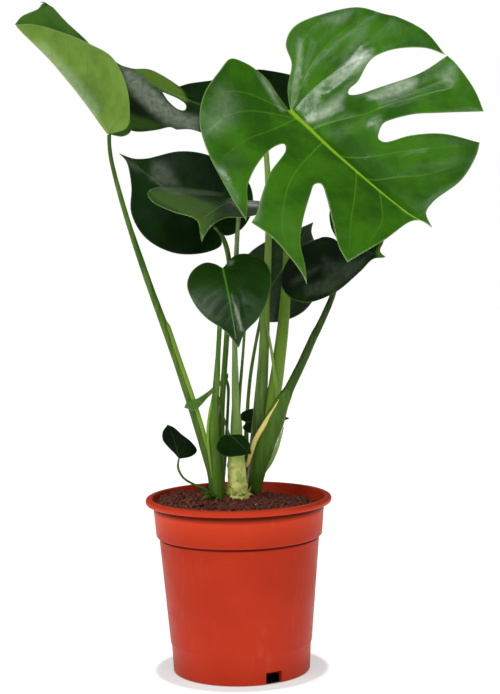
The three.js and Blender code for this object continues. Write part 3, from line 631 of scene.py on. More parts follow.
class Shader(Nodes):
    """A material with one Principled surface, and the few kinds of node that colour it."""

    def __init__(self, name, **settings):
        self.material = bpy.data.materials.new(name)
        super().__init__(self.material)
        self.surface = self.add("ShaderNodeBsdfPrincipled", **settings)
        self.add("ShaderNodeOutputMaterial", Surface=self.surface.outputs["BSDF"])

    def place(self):
        return self.add("ShaderNodeTexCoord").outputs["Object"]

    def attribute(self, name):
        node = self.add("ShaderNodeAttribute")
        node.attribute_name = name
        return node.outputs["Fac"]

    def noise(self, scale, detail=4.0, roughness=0.6, stretch=None):
        """Noise fixed to the object, `scale` lumps to the metre."""
        where = self.place()
        if stretch:
            where = self.add("ShaderNodeMapping", Scale=stretch, Vector=where).outputs["Vector"]
        node = self.add("ShaderNodeTexNoise", Scale=scale, Detail=detail, Roughness=roughness, Vector=where)
        return node.outputs["Fac"]

    def ramp(self, value, low, high, to_low=0.0, to_high=1.0):
        """A soft step from one value to the other as `value` goes from low to high."""
        ends = dict(From_Min=low, From_Max=high, To_Min=to_low, To_Max=to_high)
        node = self.add("ShaderNodeMapRange", Value=value, **ends)
        node.interpolation_type = "SMOOTHSTEP"
        return node.outputs["Result"]

    def times(self, a, b):
        node = self.add("ShaderNodeMath")
        node.operation = "MULTIPLY"
        self.feed(node.inputs[0], a)
        self.feed(node.inputs[1], b)
        return node.outputs["Value"]

    def mix(self, factor, a, b):
        node = self.add("ShaderNodeMix", Factor=factor)
        node.data_type = "RGBA"
        for socket, value in zip((s for s in node.inputs if s.type == "RGBA"), (a, b)):
            self.feed(socket, value)
        return next(s for s in node.outputs if s.type == "RGBA")

    def tint(self, color, mask, strength, towards):
        return self.mix(self.times(mask, strength), color, towards)

    def bump(self, height, strength, distance):
        node = self.add("ShaderNodeBump", Height=height, Strength=strength, Distance=distance)
        return node.outputs["Normal"]

    def finish(self, color, **others):
        """The material, with its base colour and any other input fed."""
        for key, value in {"Base Color": color, **others}.items():
            self.feed(self.surface.inputs[key], value)
        return self.material


# Pale green for paler tissue and for painted light, and whitish green for painted highlights and sheen.
PALE_AND_LIT_GREEN = srgb(96, 130, 46)
PAINTED_SHEEN_WHITE = srgb(200, 214, 190)


def leaf_material(name, colors, rough, vein_strength, coat=0.25, gloss=0.5, ripple=0.08):
    """Two greens in broad patches; veins, midrib, pale areas partly of painted light, painted highlights
    and edge over them.
    """
    deep, light, vein, rib, edge = (srgb(*c) for c in colors)
    s = Shader(name, Roughness=rough, Coat_Weight=coat, Coat_Roughness=0.2, Specular_IOR_Level=gloss)
    color = s.mix(s.ramp(s.noise(22, 3), 0.35, 0.65), deep, light)
    color = s.tint(color, s.ramp(s.noise(420, 3, 0.7), 0.3, 0.7), 0.18, light)
    color = s.tint(color, s.attribute("vein"), vein_strength, vein)
    color = s.tint(color, s.attribute("rib"), 0.9, rib)
    # Pale areas: partly paler green, partly painted light.
    color = s.tint(color, s.attribute("pale_and_lit"), 0.85, PALE_AND_LIT_GREEN)
    # Painted highlights and sheen, mottled.
    mottled = s.ramp(s.noise(190, 4, 0.6), 0.3, 0.7, 0.6, 1.15)
    color = s.tint(color, s.attribute("painted_sheen"), mottled, PAINTED_SHEEN_WHITE)
    color = s.tint(color, s.attribute("edge"), 0.8, edge)
    normal = s.bump(s.noise(150, 1.5, 0.45), ripple, 0.002)
    roughness = s.ramp(s.noise(60, 4, 0.6), 0.3, 0.7, rough - 0.04, rough + 0.06)
    return s.finish(color, Normal=normal, Roughness=roughness)


# Each look's top and underside: deep, light, side vein, midrib and edge colours, then
# roughness, vein strength, coat, gloss and ripple.
LEAF_FINISHES = {
    "bright": (
        ([(34, 80, 3), (56, 110, 7), (92, 148, 26), (136, 186, 30), (170, 200, 110)],
         0.23, 0.7, 0.06, 0.26, 0.1),
        ([(88, 122, 50), (108, 142, 62), (140, 170, 90), (160, 190, 100), (150, 180, 90)],
         0.5, 0.5, 0.0, 0.3)),
    "mid": (
        ([(14, 44, 3), (28, 66, 7), (44, 88, 16), (76, 134, 20), (120, 160, 70)], 0.3, 0.4, 0.25, 0.35),
        ([(70, 104, 44), (92, 128, 56), (130, 160, 84), (150, 180, 94), (130, 160, 84)],
         0.5, 0.5, 0.0, 0.3)),
    "dark": (
        ([(4, 19, 2), (16, 42, 8), (34, 60, 24), (50, 84, 26), (80, 112, 52)], 0.32, 0.2, 0.0, 0.08),
        ([(66, 98, 44), (84, 118, 54), (124, 152, 84), (140, 168, 90), (120, 150, 80)],
         0.5, 0.5, 0.0, 0.3)),
    "young": (
        ([(42, 88, 10), (66, 112, 24), (90, 140, 40), (116, 160, 46), (120, 160, 70)], 0.4, 0.6, 0.1, 0.3),
        ([(70, 104, 22), (104, 136, 42), (56, 90, 20), (112, 144, 60), (110, 140, 60)],
         0.5, 0.5, 0.0, 0.25)),
    "narrow": (
        ([(78, 120, 34), (104, 142, 56), (150, 180, 100), (150, 180, 100), (60, 98, 30)], 0.4, 0.4),
        ([(84, 124, 40), (110, 146, 60), (150, 180, 100), (150, 180, 100), (60, 98, 30)],
         0.45, 0.4, 0.0, 0.3)),
}
LEAF_LOOKS = {
    look: (leaf_material("leaf_top_" + look, *top), leaf_material("leaf_under_" + look, *under))
    for look, (top, under) in LEAF_FINISHES.items()
}


def stalk_material(name, low, high, streaks, rough=0.42):
    """One green at the foot and another at the top, with pale streaks along it and specks."""
    s = Shader(name, Roughness=rough, Specular_IOR_Level=0.15)
    color = s.mix(s.ramp(s.attribute("tall"), 0.0, 1.0), srgb(*low), srgb(*high))
    streak = s.ramp(s.noise(260, 3, 0.6, (1, 1, 0.08)), 0.4, 0.62)
    color = s.tint(color, streak, 0.45, srgb(*streaks))
    speck = s.ramp(s.noise(700, 2, 0.5), 0.6, 0.72)
    color = s.tint(color, speck, 0.35, srgb(*streaks))
    return s.finish(color, Normal=s.bump(s.noise(300, 3, 0.6, (1, 1, 0.12)), 0.25, 0.0008))


def cane_material():
    """Green that pales towards the foot, with yellow patches and dark spots low down."""
    s = Shader("cane", Roughness=0.42, Coat_Weight=0.1, Coat_Roughness=0.3)
    tall = s.attribute("tall")
    color = s.mix(s.ramp(tall, 0.0, 0.9), srgb(104, 142, 50), srgb(66, 100, 28))
    color = s.mix(s.ramp(tall, 0.08, 0.2, 1.0, 0.0), color, srgb(190, 210, 92))
    streak = s.ramp(s.noise(200, 3, 0.6, (1, 1, 0.1)), 0.42, 0.62)
    color = s.tint(color, streak, 0.5, srgb(142, 172, 84))
    low = s.ramp(tall, 0.08, 0.14, 1.0, 0.0)
    patch = s.ramp(s.noise(110, 3, 0.6), 0.44, 0.54)
    color = s.tint(color, patch, s.times(low, 0.85), srgb(236, 228, 128))
    spot = s.ramp(s.noise(330, 2, 0.5), 0.62, 0.68)
    color = s.tint(color, spot, s.times(low, 0.8), srgb(34, 44, 12))
    return s.finish(color, Normal=s.bump(s.noise(240, 4, 0.6), 0.3, 0.001))


# Each look's colours at the foot, at the top and in its streaks.
STALK_LOOKS = {
    "green": stalk_material("stalk_green", (66, 98, 22), (52, 86, 20), (98, 132, 42)),
    # The thick stalk's darker foot is painted shade.
    "thick": stalk_material("stalk_thick", (36, 62, 12), (128, 162, 72), (130, 162, 80)),
    "yellow": stalk_material("stalk_yellow", (136, 174, 56), (58, 94, 14), (116, 150, 50)),
    "fresh": stalk_material("stalk_fresh", (76, 110, 26), (52, 86, 22), (104, 140, 46)),
    "dark": stalk_material("stalk_dark", (50, 78, 22), (26, 46, 13), (66, 96, 32)),
    "leaning": stalk_material("stalk_leaning", (58, 90, 18), (14, 28, 4), (60, 94, 22)),
    "sheath": stalk_material("sheath", (66, 100, 24), (60, 94, 24), (88, 124, 38), 0.38),
    "sheath_edge": stalk_material("sheath_edge", (128, 162, 74), (112, 150, 58), (160, 186, 96), 0.4),
    "membrane": stalk_material("membrane", (238, 218, 122), (234, 210, 108), (244, 228, 150), 0.5),
    "cane": cane_material(),
}

# ---- stalks

# Each is (its leaf, half width at the leaf, look, stations from the shoot's foot up). A station
# is (x, y, z, half width), then its depth over its width where that isn't 1.
STALKS = {
    "shoot_left": [
        ("leaf_folded_left", 1.8, "green", [
            (-22.4, -6, 157, 3.3), (-24, -6, 180, 3.9), (-28.8, -6, 202, 4.5),
            (-34.9, -6, 225, 4.6), (-43.5, -6, 255, 4.4), (-57.4, -5, 298, 3.7),
            (-78.5, -4, 360, 3), (-96.9, -3, 420, 2.3), (-107.8, -3, 465, 1.9),
            (-109.5, -3.5, 480, 1.8)]),
        ("leaf_heart_front", 1.9, "fresh", [
            (-18.6, -7, 157, 4.3), (-19.8, -8, 185, 5.2, 0.8), (-22, -11, 222, 5.4, 0.6),
            (-18.4, -13, 259, 3.2), (-15.5, -16, 295, 2.2), (-12.8, -22, 331, 2.1),
            (-10.6, -31, 358, 2)]),
        ("leaf_heart_left", 1.9, "green", [
            (-16, -4, 157, 3.6), (-14.8, -1, 198, 3.2), (-13.6, 1, 240, 2.7), (-8.1, 4, 303, 2.5),
            (-5.5, 7, 339, 2.4), (-4.4, 12, 374, 2.3), (-9, 17, 394, 2.3)]),
        ("leaf_narrow_left", 1, "green", [
            (-16, -1, 158, 2), (-11.5, 5, 196, 1.6), (-8.5, 11, 235, 1.4), (-7.5, 14, 258, 1.4)]),
        ("leaf_low_left", 0.9, "green", [
            (-19, -6, 160, 1.6), (-23.2, -8, 163, 1.4), (-31.7, -10, 169, 1.2),
            (-41.9, -12, 174, 1.1), (-50, -13, 180, 1.1), (-54.2, -13, 189, 1.1)]),
        ("leaf_low_centre", 0.9, "dark", [
            (-19, -13, 257, 1.6), (-16, -15, 250, 1.4), (-13.2, -17, 238, 1.1),
            (-9.8, -19, 227, 1.1)]),
    ],
    "shoot_centre": [
        ("leaf_drooping_left", 1.9, "cane", [
            (-0.3, 1, 157, 10.4, 0.95), (-0.6, 1, 165, 9.2, 0.92), (-0.7, 1, 169, 9.7, 0.92),
            (-0.8, 1, 173, 8.8, 0.9), (-1.1, 1, 185, 8.4, 0.9), (-1.3, 1, 188.5, 8.9, 0.9),
            (-1.4, 1, 192, 7.8, 0.88), (-1.6, 1, 200, 7, 0.85), (-0.8, 0, 220, 5.5, 0.9),
            (-0.9, -1, 248, 3.5), (-0.6, -5, 303, 2.4), (0.4, -10, 340, 2.3), (2.4, -16, 381, 2.1),
            (4.6, -21.5, 410, 2)]),
        ("leaf_small_centre", 0.9, "green", [
            (0.4, 2, 226, 2), (3.3, 4, 257, 1.5), (7, 7, 293, 1.3), (9.4, 9.5, 320, 1.2)]),
    ],
    "shoot_right": [
        ("leaf_fenestrated_back", 2.4, "thick", [
            (13.6, 26, 157, 6.4), (17.6, 28, 198, 7, 0.8), (21.3, 29, 233, 6.3, 0.8),
            (26.3, 31, 291, 4.8), (28.6, 36, 328, 4.2), (31.3, 46, 364, 3.5), (33.3, 59, 402, 3.1),
            (34, 74, 442, 2.8), (32.6, 84, 478, 2.6)]),
        ("leaf_fenestrated_front", 3.2, "yellow", [
            (14.5, 26, 157, 6), (19.8, 28, 193, 7, 0.8), (27.9, 30, 225, 6.5, 0.8),
            (35.4, 31, 253, 6.5, 0.8), (40.7, 32, 285, 5.9), (45.5, 31, 322, 5.2),
            (48.2, 30, 355, 4.3), (50.2, 26, 392, 3.9), (52, 18, 429, 3.6), (54, 4, 466, 3.4)]),
        ("leaf_folded_right", 2.2, "leaning", [
            (13.5, 24, 157, 6), (18, 19, 180, 7.6, 0.8), (24.9, 17, 201, 8.8, 0.6),
            (33.5, 14, 224, 9.2, 0.5), (43.9, 9, 248, 6, 0.7), (49.1, 7, 258, 4.4),
            (61.4, 2, 283, 3.9), (70.4, -2, 303, 3.6), (79.9, -6, 322, 3), (88.9, -11, 344, 2.6),
            (94, -18, 370, 2.3)]),
        ("leaf_round_back", 1.6, "fresh", [
            (10.8, 28, 160, 2), (9, 48, 190, 1.9), (9.6, 65, 224, 1.8), (13.6, 69, 263, 1.7),
            (19.4, 66, 295, 1.6), (24.8, 61, 320, 1.6)]),
        ("leaf_small_back", 0.9, "dark", [
            (11, 31, 160, 1.8), (7.4, 44, 190, 1.3), (7.4, 51.5, 210, 1.1)]),
    ],
}

# Sheaths, their edges and other small growths that lie on the stalks: (name, node, look, stations).
TRIMS = [
    ("leaning_sheath", "shoot_right", "sheath", [
        (14.4, 21, 160, 6.4, 0.9), (18, 18.6, 180, 7.9, 0.85), (24.7, 16.4, 201, 9, 0.66),
        (33, 13.2, 224, 9.4, 0.56), (42.6, 8.2, 246, 6.6, 0.7), (47.2, 5.8, 255, 3.4, 0.8),
        (49.6, 4.6, 261, 0.8, 0.8)]),
    ("membrane_stripe", "shoot_right", "membrane", [
        (38.9, 4.8, 247, 0.5, 0.4), (34.8, 6.8, 239, 1.4, 0.35), (29.6, 8.7, 230.9, 1.9, 0.35),
        (22.6, 10.4, 220, 2.2, 0.35), (16.4, 11.8, 209, 2.2, 0.35), (12.8, 12.5, 198.8, 2, 0.35),
        (9.6, 13.3, 188.7, 1.6, 0.35), (8.2, 14.1, 184.1, 0.8, 0.35)]),
    ("leaning_flap", "shoot_right", "sheath_edge", [
        (42.6, 10, 221, 0.5, 0.4), (39.4, 11.6, 211, 1.3, 0.4), (35.6, 13.2, 200, 1.8, 0.4),
        (30.6, 15, 188.6, 1.8, 0.4), (25, 17, 179.4, 1.3, 0.4), (20.4, 19, 172, 0.5, 0.4)]),
    ("thick_stalk_sheath", "shoot_right", "sheath_edge", [
        (28, 26.8, 318, 0.4, 0.5), (31.6, 26, 300, 1.2, 0.45), (34.4, 25.4, 281, 1.5, 0.4),
        (36.6, 24.8, 263, 2.1, 0.4), (38, 24.4, 251, 2, 0.4), (37, 24.2, 238, 1.4, 0.4),
        (34, 24, 226, 0.6, 0.4)]),
    ("front_sheath_edge", "shoot_left", "yellow", [
        (-20.8, -13.6, 256, 0.4, 0.5), (-24.4, -14.6, 240, 1, 0.4), (-26.6, -14.6, 222, 1.3, 0.4),
        (-25.8, -13.4, 200, 1.1, 0.4), (-23.4, -11, 178, 0.5, 0.4)]),
    ("long_stalk_sheath", "shoot_left", "yellow", [
        (-61.4, -8, 321, 0.5, 0.6), (-59.8, -8.4, 316, 1.7, 0.6), (-52.4, -9, 292, 1.9, 0.5),
        (-40.2, -9.8, 254, 2, 0.5), (-31, -10, 222, 1.9, 0.5), (-25.6, -9.4, 196, 1.5, 0.5),
        (-22, -8.6, 172, 0.7, 0.5)]),
    ("young_hook", "shoot_left", "green", [
        (-16, 9, 262, 0.8), (-12, 9.6, 264.4, 1.4), (-8.8, 10, 268, 1.6), (-7.6, 9, 271.5, 0.5)]),
    ("folded_leaf_tip", "leaf_folded_left", "fresh", [
        (-168.3, 59.4, 614.2, 0.8), (-169.6, 53.5, 615, 0.6), (-171, 48.5, 615.2, 0.45),
        (-173, 44, 614.8, 0.25)]),
]
SOIL_LEVEL = 160  # about where the stalks leave the soil
LEAF_LEVEL = 420  # where their colour has become that of the top


def bands(rings, sides, first=0):
    """The quads between neighbouring rings of points, from point `first` on."""
    quads = []
    for row in range(rings - 1):
        a, b = first + row * sides, first + (row + 1) * sides
        quads += [(a + c, a + (c + 1) % sides, b + (c + 1) % sides, b + c) for c in range(sides)]
    return quads


def outward(points, faces):
    """Turns all faces about if the body is inside out."""
    p = np.asarray(points)
    fans = [(f[0], f[i], f[i + 1]) for f in faces for i in range(1, len(f) - 1)]
    volume = sum(np.dot(p[a], np.cross(p[b], p[c])) for a, b, c in fans)
    return [tuple(reversed(f)) for f in faces] if volume < 0 else faces


def rod(stations, sides=20, rows=14, wave=0.0, seed=0):
    """Points and faces of a closed rod through the stations."""
    centres = centripetal([s[:3] for s in stations], rows)
    marks = np.linspace(0, len(stations) - 1, len(centres))
    k = np.minimum(marks.astype(int), len(stations) - 2)
    blend = smooth(0, 1, marks - k)
    wide = np.array([s[3] for s in stations])
    flat = np.array([s[4] if len(s) > 4 else 1.0 for s in stations])
    radius = wide[k] * (1 - blend) + wide[k + 1] * blend
    depth = flat[k] * (1 - blend) + flat[k + 1] * blend
    tangent = np.gradient(centres, axis=0)
    tangent /= np.linalg.norm(tangent, axis=1)[:, None]
    back = np.array([0, 1.0, 0]) - tangent * tangent[:, 1:2]
    back /= np.linalg.norm(back, axis=1)[:, None]
    across = np.cross(tangent, back)
    angles = np.linspace(0, 2 * math.pi, sides, endpoint=False)
    wide_part = across[:, None] * np.cos(angles)[None, :, None]
    deep_part = back[:, None] * (np.sin(angles)[None, :, None] * depth[:, None, None])
    ring = radius[:, None, None] * (wide_part + deep_part)
    points = (centres[:, None] + ring).reshape(-1, 3)
    if wave:
        out = ring.reshape(-1, 3) / radius.repeat(sides)[:, None]
        points = points + out * (wave * lumps(points, 7, seed))[:, None]
    n = len(centres)
    faces = [quad[::-1] for quad in bands(n, sides)]
    faces.append(tuple(range(sides)))
    faces.append(tuple(range((n - 1) * sides, n * sides))[::-1])
    return points, outward(points, faces)


def make_stalk(name, stations, look, node, sides=20, wave=0.0, seed=0):
    """A rod whose colour changes with its height above the soil."""
    points, faces = rod(stations, sides, wave=wave, seed=seed)
    tall = np.clip((points[:, 2] - SOIL_LEVEL) / (LEAF_LEVEL - SOIL_LEVEL), 0, 1)
    settle(add_object(name, points, faces, [STALK_LOOKS[look]], {"tall": tall}), node)


def make_buds(seed, looks):
    """Short roots and buds that curl out of the feet of the left shoot and the cane."""
    draw = random.Random(seed)
    feet = [("shoot_left", -20.5, -7, 8.5), ("shoot_centre", -0.3, 1, 9)]
    for number in range(22):
        node, x, y, r = feet[number % 2]
        a = draw.uniform(math.pi * 0.9, math.pi * 2.1)
        reach, tall = draw.uniform(3, 8.5), draw.uniform(-2, 11)
        thick = draw.uniform(1.1, 2.0)
        out = [(0.75, SOIL_LEVEL), (1.05, SOIL_LEVEL + 1 + 0.3 * tall)]
        stations = [(x + r * k * math.cos(a), y + r * k * math.sin(a), z, thick) for k, z in out]
        a += draw.uniform(-0.4, 0.4)
        far = r + reach
        stations.append((x + far * math.cos(a), y + far * math.sin(a), SOIL_LEVEL + tall, 0.25))
        make_stalk(f"bud_{number}", stations, looks[node][number // 2 % 2], node, sides=10)


# ---- pot and soil

# The pot's section as (radius, z): foot, outside wall, collar, rolled rim, inside wall and floor.
POT_PROFILE = [
    (22, 0), (22, 2), (56.7, 7), (58.2, 0), (61.9, 0), (62.5, 0.3), (62.8, 1), (64, 25), (64.7, 26),
    (65, 27.2), (73.1, 121.9), (73, 123), (72.6, 123.6), (72.7, 124.3), (75.3, 124.9), (75.9, 125.7),
    (76, 126.7), (76.9, 138), (77.3, 143), (77.7, 147), (78.1, 151.4), (77.6, 152.6), (77.8, 153.6),
    (78.6, 154), (82.4, 154.1), (84, 154.5), (84.8, 155.5), (85, 156.8), (84.9, 158), (84.3, 159.2),
    (83, 159.9), (81.5, 160.2), (80, 160.1), (79, 159.6), (78.5, 158.6), (78.2, 156), (76.2, 152),
    (74.3, 129), (71.3, 123.6), (60, 14), (58.7, 11), (0, 11),
]
NOTCH = dict(half_size=(8, 12, 11), circle=62.7, azimuths=(27, 147, 267))
DRAIN = dict(radius=4, low=-5, high=25, circle=42, count=6)


def circle_points(radius, z, angles):
    return [(radius * math.cos(a), radius * math.sin(a), z) for a in angles]


def lathe(profile, sides):
    """The body that the profile sweeps about the axis, closed at both ends."""
    rows = [p for p in profile if p[0] > 0]
    points = [(0.0, 0.0, 0.0)]
    for radius, z in rows:
        points += circle_points(radius, z, np.linspace(0, 2 * math.pi, sides, endpoint=False))
    points.append((0.0, 0.0, profile[-1][1]))
    faces = [(0, 1 + (c + 1) % sides, 1 + c) for c in range(sides)]
    faces += bands(len(rows), sides, 1)
    last, top = 1 + (len(rows) - 1) * sides, len(points) - 1
    faces += [(last + c, last + (c + 1) % sides, top) for c in range(sides)]
    return np.array(points), outward(points, faces)


def notch_block(turn):
    """A block across the foot's wall, turned about the pot's axis."""
    width, depth, height = NOTCH["half_size"]
    c, s = math.cos(turn), math.sin(turn)
    x0, y0 = NOTCH["circle"] * s, -NOTCH["circle"] * c
    points = []
    for z in (-height, height):
        for x, y in ((-width, -depth), (width, -depth), (width, depth), (-width, depth)):
            points.append((x0 + x * c - y * s, y0 + x * s + y * c, z))
    return points, [(3, 2, 1, 0), (4, 5, 6, 7), (0, 1, 5, 4), (1, 2, 6, 5), (2, 3, 7, 6), (3, 0, 4, 7)]


def drain_rod(turn):
    x, y = DRAIN["circle"] * math.cos(turn), DRAIN["circle"] * math.sin(turn)
    return rod([(x, y, DRAIN[end], DRAIN["radius"]) for end in ("low", "high")], 20, 2)


def joined(bodies):
    """Several bodies' points and faces as one list of each."""
    points, faces = [], []
    for p, f in bodies:
        faces += [tuple(i + len(points) for i in face) for face in f]
        points += [tuple(q) for q in p]
    return points, faces


def pot_marks(points):
    """Marks painted shade in the creases under rim and collar, painted light on collar and rim."""
    radius, z = np.hypot(points[:, 0], points[:, 1]), points[:, 2]
    under_rim = (z > 151.2) & (z < 154.3) & (radius < 82.6) & (radius > 77)
    under_collar = (z > 122.5) & (z < 125) & (radius < 74) & (radius > 72)
    painted_light = smooth(124, 152, z) * (radius > 75.5) * (z < 152)
    rim = (z > 154.3) & (radius > 82)
    return {"painted_shade": under_rim | under_collar, "painted_light": 0.36 * painted_light + 0.16 * rim}


def cut(body, cutter):
    """Takes the cutter out of the body, and the cutter away."""
    modifier = body.modifiers.new("notches", "BOOLEAN")
    modifier.operation = "DIFFERENCE"
    modifier.solver = "EXACT"
    modifier.object = cutter
    bpy.context.view_layer.update()
    evaluated = body.evaluated_get(bpy.context.evaluated_depsgraph_get())
    done = bpy.data.meshes.new_from_object(evaluated)
    body.modifiers.clear()
    body.data = done
    bpy.data.objects.remove(cutter)


def make_pot(material):
    points, faces = lathe(POT_PROFILE, 192)
    pot = add_object("nursery_pot", points, faces, [material], pot_marks(points))
    notches = [notch_block(radians(azimuth)) for azimuth in NOTCH["azimuths"]]
    drains = [drain_rod(2 * math.pi * i / DRAIN["count"]) for i in range(DRAIN["count"])]
    cut(pot, add_object("cutter", *joined(notches + drains)))
    pot.data.set_sharp_from_angle(angle=radians(38))
    settle(pot, "pot")


def pot_material():
    """Matt red plastic in two broad tones with lighter streaks, painted light and painted shade."""
    s = Shader("terracotta_plastic", Roughness=0.45, Specular_IOR_Level=0.1)
    color = s.mix(s.ramp(s.noise(9, 3), 0.3, 0.7), srgb(176, 45, 18), srgb(190, 52, 24))
    # Painted light: the collar lighter towards the rim, and the rim a little lighter.
    color = s.mix(s.attribute("painted_light"), color, srgb(250, 84, 44))
    lighter_streaks = s.ramp(s.noise(90, 5, 0.7, (1, 1, 0.25)), 0.56, 0.8)
    color = s.tint(color, lighter_streaks, 0.16, srgb(222, 120, 92))
    # Painted shade in the creases under the rim and the collar.
    color = s.tint(color, s.attribute("painted_shade"), 0.85, srgb(70, 10, 4))
    normal = s.bump(s.noise(240, 3, 0.5, (1, 1, 0.2)), 0.05, 0.0006)
    return s.finish(color, Normal=normal, Roughness=s.ramp(s.noise(40, 4), 0.3, 0.7, 0.38, 0.5))


def soil_height(x, y):
    """Heaped in the middle, banked up to the left, with a mound at the left shoot's back."""
    heap = math.exp(-(((x + 6) ** 2 + y**2) / (2 * 34**2)))
    left = min(max((-x - 10) / 50, 0), 1)
    z = 148.5 + 9 * heap + 6.5 * left * left * (3 - 2 * left)
    z += 10 * math.exp(-((x + 29) ** 2 + (y - 14) ** 2) / (2 * 6.5**2))
    for height, layer, lump in ((1.6, 3, 9), (1.0, 7, 3.2), (0.5, 11, 1.3)):
        z += height * noise.noise(Vector((x, y, layer)) / lump)
    return z


def soil_material():
    s = Shader("peat", Roughness=0.95, Specular_IOR_Level=0.2)
    color = s.mix(s.ramp(s.noise(160, 6, 0.75), 0.35, 0.62), srgb(48, 18, 12), srgb(112, 60, 44))
    color = s.tint(color, s.ramp(s.noise(520, 4, 0.7), 0.6, 0.75), 0.6, srgb(150, 98, 76))
    return s.finish(color, Normal=s.bump(s.noise(500, 6, 0.75), 0.8, 0.0018))


SOIL_RADIUS, SOIL_FLOOR = 75.2, 11.5
SOIL_WALL = ((73.4, 129.8), (70.6, 124), (59.2, 14), (55, SOIL_FLOOR))


def make_soil(material):
    """The soil's rough top in rings, then its wall down to the pot's floor."""
    rings, sides = ((75, 220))
    points = [(0.0, 0.0, soil_height(0, 0))]
    for r in range(1, rings + 1):
        radius = SOIL_RADIUS * r / rings
        turned = [2 * math.pi * (c + 0.5 * (r % 2)) / sides for c in range(sides)]
        points += [(x, y, soil_height(x, y)) for x, y, _ in circle_points(radius, 0, turned)]
    for radius, z in SOIL_WALL:
        points += circle_points(radius, z, [2 * math.pi * c / sides for c in range(sides)])
    points.append((0.0, 0.0, SOIL_FLOOR))
    rows = rings + len(SOIL_WALL)
    faces = [(0, 1 + c, 1 + (c + 1) % sides) for c in range(sides)]
    faces += [(q[0], q[3], q[2], q[1]) for q in bands(rows, sides, 1)]
    a, last = 1 + (rows - 1) * sides, len(points) - 1
    faces += [(a + c, last, a + (c + 1) % sides) for c in range(sides)]
    settle(add_object("peat_bed", points, outward(points, faces), [material]), "soil")


GOLDEN = (1 + 5**0.5) / 2
CRUMB_POINTS = [
    (-1, GOLDEN, 0), (1, GOLDEN, 0), (-1, -GOLDEN, 0), (1, -GOLDEN, 0), (0, -1, GOLDEN), (0, 1, GOLDEN),
    (0, -1, -GOLDEN), (0, 1, -GOLDEN), (GOLDEN, 0, -1), (GOLDEN, 0, 1), (-GOLDEN, 0, -1), (-GOLDEN, 0, 1),
]
CRUMB_FACES = [
    (0, 11, 5), (0, 5, 1), (0, 1, 7), (0, 7, 10), (0, 10, 11), (1, 5, 9), (5, 11, 4), (11, 10, 2),
    (10, 7, 6), (7, 1, 8), (3, 9, 4), (3, 4, 2), (3, 2, 6), (3, 6, 8), (3, 8, 9), (4, 9, 5),
    (2, 4, 11), (6, 2, 10), (8, 6, 7), (9, 8, 1),
]
CRUMB_LENGTH = 1.9  # from the centre of CRUMB_POINTS to each of them


def crumb(draw, centre, radius, stretch):
    """A small angular lump of peat or a fibre, as points and faces."""
    turn, tilt = draw.uniform(0, math.pi), draw.uniform(-0.9, 0.9)
    spin = Matrix.Rotation(turn, 3, "Z") @ Matrix.Rotation(tilt, 3, "Y")
    points = []
    for p in CRUMB_POINTS:
        q = Vector(p) * (radius / CRUMB_LENGTH) * draw.uniform(0.55, 1.35)
        q.x *= stretch
        q.y /= max(stretch**0.5, 1)
        q.z /= max(stretch**0.5, 1)
        points.append(Vector(centre) + spin @ q)
    return points, CRUMB_FACES


def scatter_crumbs(name, count, seed, sizes, stretches, look, reach, lift=0.3):
    """Many crumbs within `reach` of the axis, raised from the soil by `lift` of their size."""
    draw = random.Random(seed)
    bodies = []
    for _ in range(count):
        a, r = draw.uniform(0, 2 * math.pi), reach * math.sqrt(draw.random())
        x, y = r * math.cos(a), r * math.sin(a)
        radius = draw.uniform(*sizes)
        centre = (x, y, soil_height(x, y) + radius * lift)
        bodies.append(crumb(draw, centre, radius, draw.uniform(*stretches)))
    obj = add_object(name, *joined(bodies), [crumb_material(*look)], soft=False)
    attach(obj, "root")


def crumb_material(name, *color):
    s = Shader(name, Roughness=0.9)
    light = srgb(*color)
    shadow = tuple(0.6 * c for c in light[:3]) + (1,)
    return s.finish(s.mix(s.ramp(s.noise(300, 4, 0.7), 0.35, 0.65), shadow, light))


# ---- build the plant

surfaces = {}
for leaf_name, leaf_spec in LEAVES.items():
    look = leaf_spec["look"]
    leaf, surfaces[leaf_name] = make_leaf(leaf_name, leaf_spec, LEAF_LOOKS[look])
    settle(leaf, leaf_name)

JOINT = np.array([[0.0, 0.0], [1.0, 0.0]])  # the blade's joint, and a point just ahead of it
for node, stalks in STALKS.items():
    for number, (leaf_name, half_width, look, stations) in enumerate(stalks):
        surface = surfaces[leaf_name]
        end = surface.at(JOINT)[0] - surface.normals(JOINT)[1] * 0.5
        stations = stations + [(*end, half_width)]
        make_stalk(f"{node}_stalk_{number}", stations, look, node, seed=number, wave=0.12)

for trim_name, node, look, stations in TRIMS:
    make_stalk(trim_name, stations, look, node, sides=16)
make_buds(12, {"shoot_left": ("dark", "green"), "shoot_centre": ("cane", "sheath_edge")})
make_pot(pot_material())
make_soil(soil_material())
share = 1
for crumbs in (
    ("peat_crumbs", int(1500 * share), 3, (0.7, 2.3), (1, 1.5), ("peat_crumb", 118, 60, 42), 72.5),
    ("peat_lumps", int(240 * share), 4, (2, 3.8), (1, 1.4), ("peat_lump", 98, 46, 32), 70),
    ("peat_fibres", int(420 * share), 5, (0.8, 1.5), (2.5, 6), ("peat_fibre", 150, 88, 62), 68, 0.8),
    ("pale_grit", 26, 8, (0.6, 1.2), (1, 1.4), ("grit", 214, 204, 194), 66, 0.9),
):
    scatter_crumbs(*crumbs)

# ---- floor, light and camera


